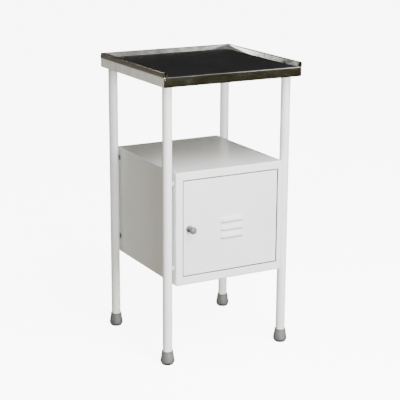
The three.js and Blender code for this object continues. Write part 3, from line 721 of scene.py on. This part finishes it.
def black_laminate():
    """Satin black sheet with faint dust and smears."""
    look = Look("black_laminate", BLACK, roughness=0.5)
    smears = look.noise(scale=11.0, detail=5.0, rough=0.6)
    look.roughness(look.map(smears, 0.3, 0.75, 0.44, 0.58))
    specks = look.map(look.noise(scale=900.0, detail=2.0, rough=0.6), 0.74, 0.82, 0.0, 0.12)
    haze = look.map(smears, 0.45, 0.8, 0.0, 0.15)
    look.colour(look.mix(look.math("MAXIMUM", specks, haze), BLACK, DUST))
    look.bump(look.noise(scale=5.0, detail=1.0), distance=0.4 * MM, strength=0.15)
    look.shader.inputs["Specular IOR Level"].default_value = 0.03
    return look.material


def vinyl():
    """Moulded grey vinyl, scuffed darker towards the floor; its base is darkened by dirt and painted shade.
    """
    look = Look("foot_vinyl", GREY_VINYL, roughness=0.5)
    height = look.split(look.place)["Z"]
    grime = look.noise(scale=60.0, detail=5.0, rough=0.65)
    low = look.map(height, 2 * MM, 30 * MM, 0.9, 0.1)
    mask = look.math("MULTIPLY", look.map(grime, 0.35, 0.7, 0.25, 1.0), low)
    scuffed = look.mix(mask, GREY_VINYL, SCUFF)
    # The lowest few millimetres darken: dirt plus painted contact shade where the foot meets the floor.
    look.colour(look.mix(look.map(height, 2 * MM, 9 * MM, 1.0, 0.0), scuffed, BASE_DIRT_AND_SHADE))
    look.roughness(look.map(grime, 0.3, 0.7, 0.42, 0.62))
    look.bump(look.noise(scale=1500.0, detail=2.0), distance=0.04 * MM, strength=0.4)
    return look.material


def satin_metal(name, colour, roughness, metallic=1.0):
    """Plated or cast metal with a fine mottle."""
    look = Look(name, colour, roughness, metallic)
    mottle = look.noise(scale=350.0, detail=4.0, rough=0.6)
    look.roughness(look.map(mottle, 0.3, 0.7, roughness - 0.06, roughness + 0.08))
    look.colour(look.mix(look.map(mottle, 0.4, 0.8, 0.0, 0.8), colour, scaled(colour, 0.72)))
    look.bump(mottle, distance=0.03 * MM, strength=0.3)
    return look.material


def particle_board():
    """Bare chipboard: flakes of several browns."""
    look = Look("board_core", PALE_CHIP, roughness=0.85)
    flakes = look.node("TexVoronoi", {"Scale": 420.0, "Vector": look.stretched((1.0, 0.45, 1.0))})
    shade = look.node("SeparateColor", {"Color": flakes.outputs["Color"]}).outputs["Red"]
    chips = look.mix(shade, PALE_CHIP, DARK_CHIP)
    look.colour(look.mix(look.map(look.noise(scale=9.0), 0.3, 0.7, 0.0, 0.4), chips, CHIP_DUST))
    look.bump(shade, distance=0.2 * MM, strength=0.5)
    return look.material


def moulded(name, colour, roughness):
    """Moulded plastic or ferrite with a fine spark-eroded texture."""
    look = Look(name, colour, roughness)
    grain = look.noise(scale=1400.0)
    look.roughness(look.map(grain, 0.3, 0.7, roughness - 0.06, roughness + 0.08))
    cloud = look.map(look.noise(scale=40.0), 0.4, 0.7, 0.0, 0.7)
    look.colour(look.mix(cloud, colour, scaled(colour, 0.8)))
    look.bump(grain, distance=0.03 * MM, strength=0.4)
    return look.material


PAINT = enamel("enamel_on_sheet", WHITE, AGED_WHITE, 0.35)
# The front frame's and the door's enamel carry painted shade in the door gaps.
FRONT_PAINT = enamel("enamel_on_front", WHITE, AGED_WHITE, 0.35, FRAME_GAP_SHADE)
DOOR_PAINT = enamel("enamel_on_door", WHITE, AGED_WHITE, 0.35, DOOR_GAP_SHADE, door_inside())
LEG_PAINT = enamel("enamel_on_legs", LEG_WHITE, AGED_LEG_WHITE, 0.36)
# Painted shade: a greyed copy of the leg enamel for the front spacers.
SHADED_SPACER_PAINT = enamel("enamel_on_spacers", SHADED_SPACER_WHITE, AGED_SHADED_SPACER_WHITE, 0.4)
STEEL_X = polished_steel("polished_steel_x", "x", 0.07)
STEEL_Y = polished_steel("polished_steel_y", "y", 0.09)
RIM_X = polished_steel("rim_steel_x", "x", 0.1)
RIM_Y = polished_steel("rim_steel_y", "y", 0.08)
LAMINATE = black_laminate()
VINYL = vinyl()
ZINC = satin_metal("zinc_steel", (0.62, 0.63, 0.64), 0.38)
KNOB = satin_metal("satin_knob", (0.17, 0.173, 0.172), 0.55, metallic=0.35)
# Painted light: a lighter copy of the knob's metal on the rose, to lift the shade round the knob's neck.
LIGHTENED_ROSE = satin_metal("satin_rose", (0.23, 0.233, 0.23), 0.55, metallic=0.3)
BOARD = particle_board()
PLASTIC = moulded("catch_plastic", (0.72, 0.70, 0.64), 0.5)
FERRITE = moulded("magnet_ferrite", (0.05, 0.05, 0.048), 0.6)


def finish_piece(thing, material, node, body="frame"):
    """Gives a piece its material and body, and hides the CAD node that it replaces."""
    modify(thing, "WEIGHTED_NORMAL", mode="FACE_AREA", keep_sharp=True)
    thing.data.materials.clear()
    thing.data.materials.append(material)
    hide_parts(node)
    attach(thing, body)


# ---- Legs and feet ----


def make_leg(place):
    low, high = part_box(place + "_leg")
    x, y, _ = middle_of(place + "_leg")
    outer = (high.x - low.x) / 2
    bore = outer - PAINT_SHEET
    outline = [(bore, low.z + TUBE_EDGE), (bore + TUBE_EDGE, low.z), (outer - TUBE_EDGE, low.z)]
    outline += [(outer, low.z + TUBE_EDGE), (outer, high.z), (bore, high.z)]
    tube = lathe(place + "_tube", outline, Matrix.Translation((x, y, 0)), ROUND_SIDES, closed=True)
    finish_piece(tube, LEG_PAINT, place + "_leg")


def make_foot(place):
    low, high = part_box(place + "_foot")
    x, y, _ = middle_of(place + "_foot")
    widest = (high.x - low.x) / 2
    floor = low.z + FOOT_FLOOR * (high.z - low.z)
    outline = [(0, low.z)]
    outline += [(widest + past, low.z + up) for past, up in in_metres(FOOT_BASE)]
    outline += [(FOOT_MOUTH_RADIUS + past, high.z - down) for past, down in in_metres(FOOT_MOUTH)]
    outline += [(FOOT_BORE_RADIUS + past, high.z - down) for past, down in in_metres(FOOT_LIP)]
    outline += [(FOOT_BORE_RADIUS, floor), (0, floor)]
    foot = lathe(place + "_ferrule", outline, Matrix.Translation((x, y, 0)), ROUND_SIDES)
    finish_piece(foot, VINYL, place + "_foot")


def weld_bead(name, x, y, plate_z):
    """A rippled bead round a leg, under its plate."""
    bead = []
    for k in range(WELD_STEPS):
        angle = 2 * math.pi * k / WELD_STEPS
        radius = TUBE_RADIUS + WELD_OUT + WELD_RADIUS * math.cos(angle)
        bead.append((radius, plate_z - WELD_DOWN + WELD_RADIUS * math.sin(angle)))
    weld = lathe(name, bead, Matrix.Translation((x, y, 0)), WELD_SIDES, closed=True)
    for vertex in weld.data.vertices:
        turn = math.atan2(vertex.co.y - y, vertex.co.x - x)
        vertex.co.z += WELD_RIPPLE * math.sin(turn * WELD_RIPPLES)
    return weld


def make_leg_plate(place):
    """The welded plate with its weld bead and four screws into the board."""
    node = place + "_leg_plate"
    x, y, _ = middle_of(node)
    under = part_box(node)[0].z
    weld = weld_bead(node + "_weld", x, y, under)
    plate = softened(node, node + "_sheet", BROKEN_EDGE)
    whole = join(place + "_top_plate", [plate, weld])
    finish_piece(whole, LEG_PAINT, node)
    screws = []
    for dx in (-PLATE_SCREW_OFFSET, PLATE_SCREW_OFFSET):
        for dy in (-PLATE_SCREW_OFFSET, PLATE_SCREW_OFFSET):
            spot = Matrix.Translation((x + dx, y + dy, under))
            screws.append(lathe(node + "_screw", in_metres(PLATE_SCREW_HEAD), spot, SCREW_SIDES))
    cluster = join(place + "_plate_screws", screws)
    cluster.data.materials.append(ZINC)
    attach(cluster, "frame")


def make_fixings(place):
    """The spacers between a leg and the cupboard, and the bolts through them.

    The front ones are painted in a greyed copy of the leg enamel: painted shade for the gap beside the leg.
    """
    material, slot = (SHADED_SPACER_PAINT, "leg_enamel") if "front" in place else (VINYL, "foot_vinyl")
    for level in ("lower", "upper"):
        node = f"{place}_{level}_spacer"
        spacer = softened(node, f"{place}_{level}_saddle", BROKEN_EDGE)
        finish_piece(spacer, material, node)
        make_bolt(place, level)


def make_bolt(place, level):
    """A hexagon head with a washer inside the cupboard, and its shank."""
    node = f"{place}_{level}_bolt"
    low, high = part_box(node)
    _, y, z = middle_of(node)
    way = 1 if "right" in place else -1
    start = low.x if way > 0 else high.x
    length = high.x - low.x
    inside_cupboard = place_of((start, y, z), (0, 1, 0), (0, 0, way), (way, 0, 0))
    shank = in_metres(BOLT_SHANK)
    shank += [(radius, length - back) for radius, back in in_metres(BOLT_TIP)]
    outlines = ((in_metres(BOLT_HEAD), 6), (in_metres(BOLT_WASHER), WASHER_SIDES), (shank, SCREW_SIDES))
    solids = [lathe(node + "_solid", outline, inside_cupboard, sides) for outline, sides in outlines]
    whole = join(f"{place}_{level}_hex_bolt", solids)
    finish_piece(whole, ZINC, node)


# ---- Tray top ----


def nose_section(top):
    """The upper part of the front trim's section: over its rounded nose to its ledge, and back inside."""
    arc = [math.pi / 2 * k / NOSE_STEPS for k in range(NOSE_STEPS + 1)]
    inner = TRIM_NOSE - STEEL_SHEET
    ledge = TRIM_NOSE + TRIM_LEDGE
    section = [(TRIM_NOSE * (1 - math.cos(a)), top - TRIM_NOSE * (1 - math.sin(a))) for a in arc]
    section += [(ledge, top), (ledge, top - STEEL_SHEET)]
    for a in reversed(arc):
        section.append((STEEL_SHEET + inner * (1 - math.cos(a)), top - TRIM_NOSE + inner * math.sin(a)))
    return section


def plain_section(top):
    """The upper part of a plain skirt's section: its slightly rounded top edge."""
    return [(0, top - SKIRT_TOP_BEVEL), (SKIRT_TOP_BEVEL, top), (STEEL_SHEET, top)]


def skirt(name, path, upper, bottom):
    """A sheet skirt that follows a path round the tray. path is [(point, outward direction)].

    upper is the upper part of its section, as (distance in from the path, height) points from the outside.
    """
    section = [(0, bottom + HEM), *upper, (STEEL_SHEET, bottom + HEM)]
    section += [(inset, bottom + up) for inset, up in in_metres(HEM_OUTLINE)]
    rings = []
    for (x, y), (out_x, out_y) in path:
        rings.append([(x - out_x * inset, y - out_y * inset, z) for inset, z in section])
    return skin(name, rings)


def corner_path(x, y, start):
    """Points round a corner of the tray about (x, y), with their outward directions."""
    ways = quarter_turn(start, TRAY_CORNER_STEPS)
    return [((x + TRAY_CORNER_RADIUS * way[0], y + TRAY_CORNER_RADIUS * way[1]), way) for way in ways]


def finish_steel(name, sheets, material, node):
    finish_piece(join(name, sheets), material, node)


def lip(name, axis, skirt_at, span, bottom, inwards):
    """The stiffening lip folded in under an apron, as a strip with a rounded fold."""
    across = skirt_at + LIP_INSET * inwards
    inside = across + STEEL_SHEET * inwards
    outline = [
        (across, bottom + LIP_START),
        (across, bottom, LIP_FOLD),
        (across + LIP_REACH * inwards, bottom),
        (across + LIP_REACH * inwards, bottom + STEEL_SHEET),
        (inside, bottom + STEEL_SHEET),
        (inside, bottom + LIP_START),
    ]
    return drawn(name, rounded(outline), axis, span[0] + LIP_END, span[1] - LIP_END)


def make_aprons():
    """The front trim, the back apron and the side aprons, each with its lip."""
    low, trim_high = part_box("front_trim")
    left, right = low.x, trim_high.x
    front, back = low.y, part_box("back_apron")[1].y
    top, bottom = trim_high.z, low.z
    radius = TRAY_CORNER_RADIUS
    front_end = front + radius + TRAY_CORNER_WRAP
    back_end = back - radius - TRAY_CORNER_WRAP

    around_front = [((left, front_end), (-1, 0))]
    around_front += corner_path(left + radius, front + radius, math.pi)
    around_front += corner_path(right - radius, front + radius, -math.pi / 2)
    around_front += [((right, front_end), (1, 0))]
    trim = skirt("front_trim_sheet", around_front, nose_section(top), bottom)
    front_lip = lip("front_lip", "x", front, (left, right), bottom, 1)
    finish_steel("front_steel_trim", [trim, front_lip], STEEL_X, "front_trim")

    around_back = [((right, back_end), (1, 0))]
    around_back += corner_path(right - radius, back - radius, 0)
    around_back += corner_path(left + radius, back - radius, math.pi / 2)
    around_back += [((left, back_end), (-1, 0))]
    back_sheet = skirt("back_sheet", around_back, plain_section(top), bottom)
    back_lip = lip("back_lip", "x", back, (left, right), bottom, -1)
    finish_steel("back_skirt", [back_sheet, back_lip], STEEL_X, "back_apron")

    for word, side, edge in (("left", -1, left), ("right", 1, right)):
        path = [((edge, front_end + SKIRT_SEAM), (side, 0)), ((edge, back_end - SKIRT_SEAM), (side, 0))]
        apron_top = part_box(word + "_apron")[1].z
        sheet = skirt(word + "_sheet", path, plain_section(apron_top), bottom)
        side_lip = lip(word + "_lip", "y", edge, (front, back), bottom, -side)
        finish_steel(word + "_skirt", [sheet, side_lip], STEEL_Y, word + "_apron")


def make_board():
    surface = softened("tray_surface", "black_top", 0.3 * MM)
    finish_piece(surface, LAMINATE, "tray_surface")
    board = softened("tray_board", "board_under_top", 0.4 * MM)
    finish_piece(board, BOARD, "tray_board")


def rim_outline(outer, inner, outer_foot, top, inner_lean):
    """A folded rim's section, open below. It narrows slightly towards its top, and its folds are rounded.

    Its inner side stands on the board, and its outer side leans from just above the tray's surface.
    """
    way = 1 if inner > outer else -1
    outer_top = outer + RIM_LEAN * way
    inner_top = inner - inner_lean * way
    sheet = STEEL_SHEET * way
    inner_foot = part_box("tray_board")[1].z
    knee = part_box("front_trim")[1].z + RIM_KNEE
    outline = [
        (outer, outer_foot),
        (outer, knee),
        (outer_top, top, RIM_FOLD),
        (inner_top, top, RIM_FOLD),
        (inner, inner_foot),
        (inner - sheet, inner_foot),
        (inner_top - sheet, top - STEEL_SHEET, RIM_FOLD_INSIDE),
        (outer_top + sheet, top - STEEL_SHEET, RIM_FOLD_INSIDE),
        (outer + sheet, knee),
        (outer + sheet, outer_foot),
    ]
    return rounded(outline)


def make_side_rim(word, side):
    """A side rim, whose outer side comes down over the apron between the front trim and the back apron."""
    low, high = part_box(word + "_rim")
    outer, inner = (low.x, high.x) if side < 0 else (high.x, low.x)
    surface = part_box("front_trim")[1].z
    corner = TRAY_CORNER_RADIUS + TRAY_CORNER_WRAP
    stations = [
        (low.y, surface),
        (low.y + corner, surface),
        (low.y + corner + RIM_NOTCH, low.z),
        (high.y - corner - RIM_NOTCH, low.z),
        (high.y - corner, surface),
        (high.y, surface),
    ]
    rings = []
    for y, outer_foot in stations:
        mitre = (y - low.y) / (high.y - low.y)
        outline = rim_outline(outer, inner, outer_foot, high.z, SIDE_RIM_INNER_LEAN)
        rings.append([(x, y - mitre * abs(x - outer), z) for x, z in outline])
    rim = skin(word + "_gallery", rings)
    finish_piece(rim, RIM_Y, word + "_rim")


def make_back_rim():
    """The back rim, mitred where it meets the side rims."""
    low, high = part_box("back_rim")
    left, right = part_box("left_rim")[0].x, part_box("right_rim")[1].x
    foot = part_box("back_apron")[1].z
    outline = rim_outline(high.y, low.y, foot, high.z, BACK_RIM_INNER_LEAN)

    def mitre(point):
        return abs(point[0] - high.y) + MITRE_GAP

    rim = drawn("back_gallery", outline, "x", left, right, mitre)
    finish_piece(rim, RIM_X, "back_rim")


# ---- Cupboard ----


def shell_heights():
    """The lower and upper ends of the upright sheets, between the folded edges of the bottom and the top."""
    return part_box("cupboard_bottom")[0].z + BASE_DEPTH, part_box("cupboard_top")[1].z - LID_DEPTH


def make_level_sheet(node, name, radius, depth, way):
    """The cupboard's top, way 1, or bottom, way -1, with its edge folded towards the other."""
    low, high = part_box(node)
    x, y, _ = middle_of(node)
    half_width = (high.x - low.x) / 2 - radius
    half_depth = (high.y - low.y) / 2 - radius
    outside = high.z if way > 0 else low.z
    place = place_of((x, y, outside), (1, 0, 0), (0, way, 0), (0, 0, way))
    sheet = pan(name, [-half_width, half_width], [-half_depth, half_depth], radius, depth, place)
    finish_piece(sheet, PAINT, node)


def make_side(word, side):
    """A side panel folded in behind the cupboard, and the stile that wraps round its front corner."""
    low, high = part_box("cupboard_top")
    front, back = low.y, high.y
    edge = low.x if side < 0 else high.x
    inner = edge - side * PAINT_SHEET
    flange = edge - side * BACK_FLANGE
    wrap = front + CORNER_RADIUS + FRAME_WRAP
    inside_radius = CORNER_RADIUS - PAINT_SHEET
    panel_outline = [
        (edge, wrap + PANEL_GAP),
        (edge, back, CORNER_RADIUS),
        (flange, back),
        (flange, back - PAINT_SHEET),
        (inner, back - PAINT_SHEET, inside_radius),
        (inner, wrap + PANEL_GAP),
    ]
    panel = drawn(word + "_panel", rounded(panel_outline), "z", *shell_heights())
    finish_piece(panel, PAINT, f"cupboard_{word}_side")
    stile_low, stile_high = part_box(word + "_stile")
    opening = stile_high.x if side < 0 else stile_low.x
    stile_outline = [
        (edge, wrap),
        (edge, front, CORNER_RADIUS),
        (opening, front, OPENING_FOLD),
        (opening, stile_high.y),
        (opening + side * PAINT_SHEET, stile_high.y),
        (opening + side * PAINT_SHEET, front + PAINT_SHEET, OPENING_FOLD_INSIDE),
        (inner, front + PAINT_SHEET, inside_radius),
        (inner, wrap),
    ]
    stile = drawn(word + "_upright", rounded(stile_outline), "z", *shell_heights())
    finish_piece(stile, FRONT_PAINT, word + "_stile")


def make_rail(node, way):
    """A rail of the front frame: the top one, way 1, or the bottom one, way -1."""
    low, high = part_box(node)
    front = low.y
    opening = low.z if way > 0 else high.z
    edge = shell_heights()[1 if way > 0 else 0]
    outline = [
        (front, edge),
        (front, opening, OPENING_FOLD),
        (high.y, opening),
        (high.y, opening + way * PAINT_SHEET),
        (front + PAINT_SHEET, opening + way * PAINT_SHEET, OPENING_FOLD_INSIDE),
        (front + PAINT_SHEET, edge),
    ]
    left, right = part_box("left_stile")[1].x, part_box("right_stile")[0].x
    rail = drawn(node + "_sheet", rounded(outline), "x", left, right)
    finish_piece(rail, FRONT_PAINT, node)


def make_back_panel():
    """The back panel, inside the side panels' flanges."""
    low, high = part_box("cupboard_top")
    left = low.x + PAINT_SHEET + PANEL_GAP
    right = high.x - PAINT_SHEET - PANEL_GAP
    outside = high.y - PAINT_SHEET - PANEL_GAP
    inside = high.y - 2 * PAINT_SHEET - PANEL_GAP
    outline = [(left, outside, BACK_EDGE), (right, outside, BACK_EDGE), (right, inside), (left, inside)]
    panel = drawn("back_sheet_panel", rounded(outline), "z", *shell_heights())
    finish_piece(panel, PAINT, "cupboard_back")


# ---- Door ----

LOUVRE_LEFT = LOUVRE_SHIFT - LOUVRE_LENGTH / 2
LOUVRE_RIGHT = LOUVRE_SHIFT + LOUVRE_LENGTH / 2
LOUVRE_LIPS = [LOUVRE_TOP_LIP - LOUVRE_PITCH * i for i in range(LOUVRE_COUNT)]


def louvre_profile(down):
    """A louvre's height as a share of its rise, from its top edge, 0, down to its lip, 1."""
    part = min(1.0, max(0.0, (down - SWELL_START) / SWELL_LENGTH))
    swell = 0.5 - 0.5 * math.cos(math.pi * part)
    droop = DROOP * max(0.0, (down - DROOP_START) / DROOP_LENGTH) ** 2
    return swell - droop


def louvre_height(x, y):
    """How far the door's sheet is pressed out at a place measured from the door's middle."""
    along = abs(x - LOUVRE_SHIFT)
    if along >= LOUVRE_LENGTH / 2:
        return 0.0
    end = min(1.0, (LOUVRE_LENGTH / 2 - along) / LOUVRE_END)
    share = math.sin(math.pi / 2 * end) ** END_ROUNDNESS
    for lip_y in LOUVRE_LIPS:
        if lip_y - SAME_PLACE * MM <= y < lip_y + LOUVRE_HEIGHT:
            down = 1 - (y - lip_y) / LOUVRE_HEIGHT
            return LOUVRE_RISE * LOUVRE_FULLNESS * share * louvre_profile(down)
    return 0.0


def between(start, end, steps):
    """Equal steps from start to end, without the start."""
    return [start + (end - start) * k / steps for k in range(1, steps + 1)]


def make_door():
    low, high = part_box("door_panel")
    x, _, z = middle_of("door_panel")
    face = low.y + LOUVRE_RISE
    half_width = (high.x - low.x - 2 * DOOR_EASE) / 2 - DOOR_EDGE_RADIUS
    half_height = (high.z - low.z - 2 * DOOR_EASE) / 2 - DOOR_EDGE_RADIUS
    xs = [-half_width, LOUVRE_LEFT]
    xs += between(LOUVRE_LEFT, LOUVRE_LEFT + LOUVRE_END, LOUVRE_END_STEPS)
    xs += between(LOUVRE_LEFT + LOUVRE_END, LOUVRE_RIGHT - LOUVRE_END, LOUVRE_MIDDLE_STEPS)
    xs += between(LOUVRE_RIGHT - LOUVRE_END, LOUVRE_RIGHT, LOUVRE_END_STEPS)
    xs += [half_width]
    ys = [-half_height, half_height]
    for lip_y in LOUVRE_LIPS:
        ys += [lip_y - LOUVRE_SLOT, lip_y]
        ys += between(lip_y, lip_y + LOUVRE_HEIGHT, LOUVRE_ROWS)
    slits = [(LOUVRE_LEFT, LOUVRE_RIGHT, lip_y, lip_y - LOUVRE_SLOT) for lip_y in LOUVRE_LIPS]
    place = facing_front((x, face, z))
    panel = pan("door_sheet", xs, sorted(ys), DOOR_EDGE_RADIUS, high.y - face, place, louvre_height, slits)
    pin_x, pin_y, _ = middle_of("lower_pivot_pin")
    for edge in (low.z, high.z):
        drill(panel, pin_x, pin_y, edge - PIN_DRILL_REACH, edge + PIN_DRILL_REACH, PIN_HOLE_RADIUS)
    finish_piece(panel, DOOR_PAINT, "door_panel", "door")

    striker = softened("catch_striker", "striker_plate", STRIKER_EDGE)
    finish_piece(striker, ZINC, "catch_striker", "door")
    make_knob(face)


def knob_outline(head_radius, tip):
    """The knob's outside: its flared neck, and a rounded head that reaches out to its tip."""
    outline = [(0, KNOB_NECK[0][1] * MM), *in_metres(KNOB_NECK)]
    outline.append((head_radius + KNOB_SHOULDER[0] * MM, KNOB_SHOULDER[1] * MM))
    bulge = tip - KNOB_HEAD_MIDDLE
    for k in range(-KNOB_HEAD_BACK, KNOB_HEAD_STEPS + 1):
        angle = math.pi / 2 * k / KNOB_HEAD_STEPS
        radius = head_radius * math.cos(angle) ** KNOB_SQUARENESS
        outline.append((radius, KNOB_HEAD_MIDDLE + bulge * math.sin(angle)))
    return outline


def make_knob(face):
    low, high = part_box("knob_rose")
    x, _, z = middle_of("knob_rose")
    on_face = facing_front((x, face, z))
    rose_radius = (high.x - low.x) / 2
    rose = [(0, 0), *[(rose_radius + past, out) for past, out in in_metres(ROSE_OUTLINE)], (0, ROSE_THICK)]
    finish_piece(lathe("knob_base", rose, on_face, ROUND_SIDES), LIGHTENED_ROSE, "knob_rose", "door")

    low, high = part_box("knob")
    outline = knob_outline((high.x - low.x) / 2, face - low.y)
    knob = lathe("pull_knob", outline, on_face, ROUND_SIDES)
    finish_piece(knob, KNOB, "knob", "door")

    low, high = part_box("knob_screw")
    length = high.y - low.y
    outline = in_metres(KNOB_SCREW_HEAD)
    outline += [(radius, length - back) for radius, back in in_metres(KNOB_SCREW_TIP)]
    screw = lathe("knob_fixing", outline, facing_front((x, high.y, z)), WASHER_SIDES)
    finish_piece(screw, ZINC, "knob_screw", "door")


def make_hardware():
    """The pivot pins, the washer and the catch, with broken edges."""
    parts = (
        ("upper_pivot_pin", "upper_pin", ZINC, "zinc_steel", 0.3 * MM),
        ("lower_pivot_pin", "lower_pin", ZINC, "zinc_steel", 0.3 * MM),
        ("pivot_washer", "thrust_washer", VINYL, "foot_vinyl", 0.15 * MM),
        ("catch_bracket", "catch_angle", ZINC, "zinc_steel", 0.3 * MM),
        ("catch_housing", "catch_block", PLASTIC, "catch_plastic", 0.6 * MM),
        ("catch_magnet", "catch_ferrite", FERRITE, "magnet_ferrite", 0.2 * MM),
    )
    for node, name, material, slot, edge in parts:
        finish_piece(softened(node, name, edge), material, node)


# ---- Assembly ----

make_camera()
make_world()
make_stage()
soft_light("front", (-0.2, -3.2, 0.95), (1.6, 0.9), 222)
soft_light("high", (0.15, -1.55, 3.0), (0.9, 2.0), 140)

for leg_place in ("front_left", "front_right", "back_left", "back_right"):
    make_leg(leg_place)
    make_foot(leg_place)
    make_leg_plate(leg_place)
    make_fixings(leg_place)

make_aprons()
make_board()
make_side_rim("left", -1)
make_side_rim("right", 1)
make_back_rim()

make_level_sheet("cupboard_top", "top_sheet", LID_RADIUS, LID_DEPTH, 1)
make_level_sheet("cupboard_bottom", "bottom_sheet", BASE_RADIUS, BASE_DEPTH, -1)
make_side("left", -1)
make_side("right", 1)
make_rail("top_rail", 1)
make_rail("bottom_rail", -1)
make_back_panel()

make_door()
make_hardware()
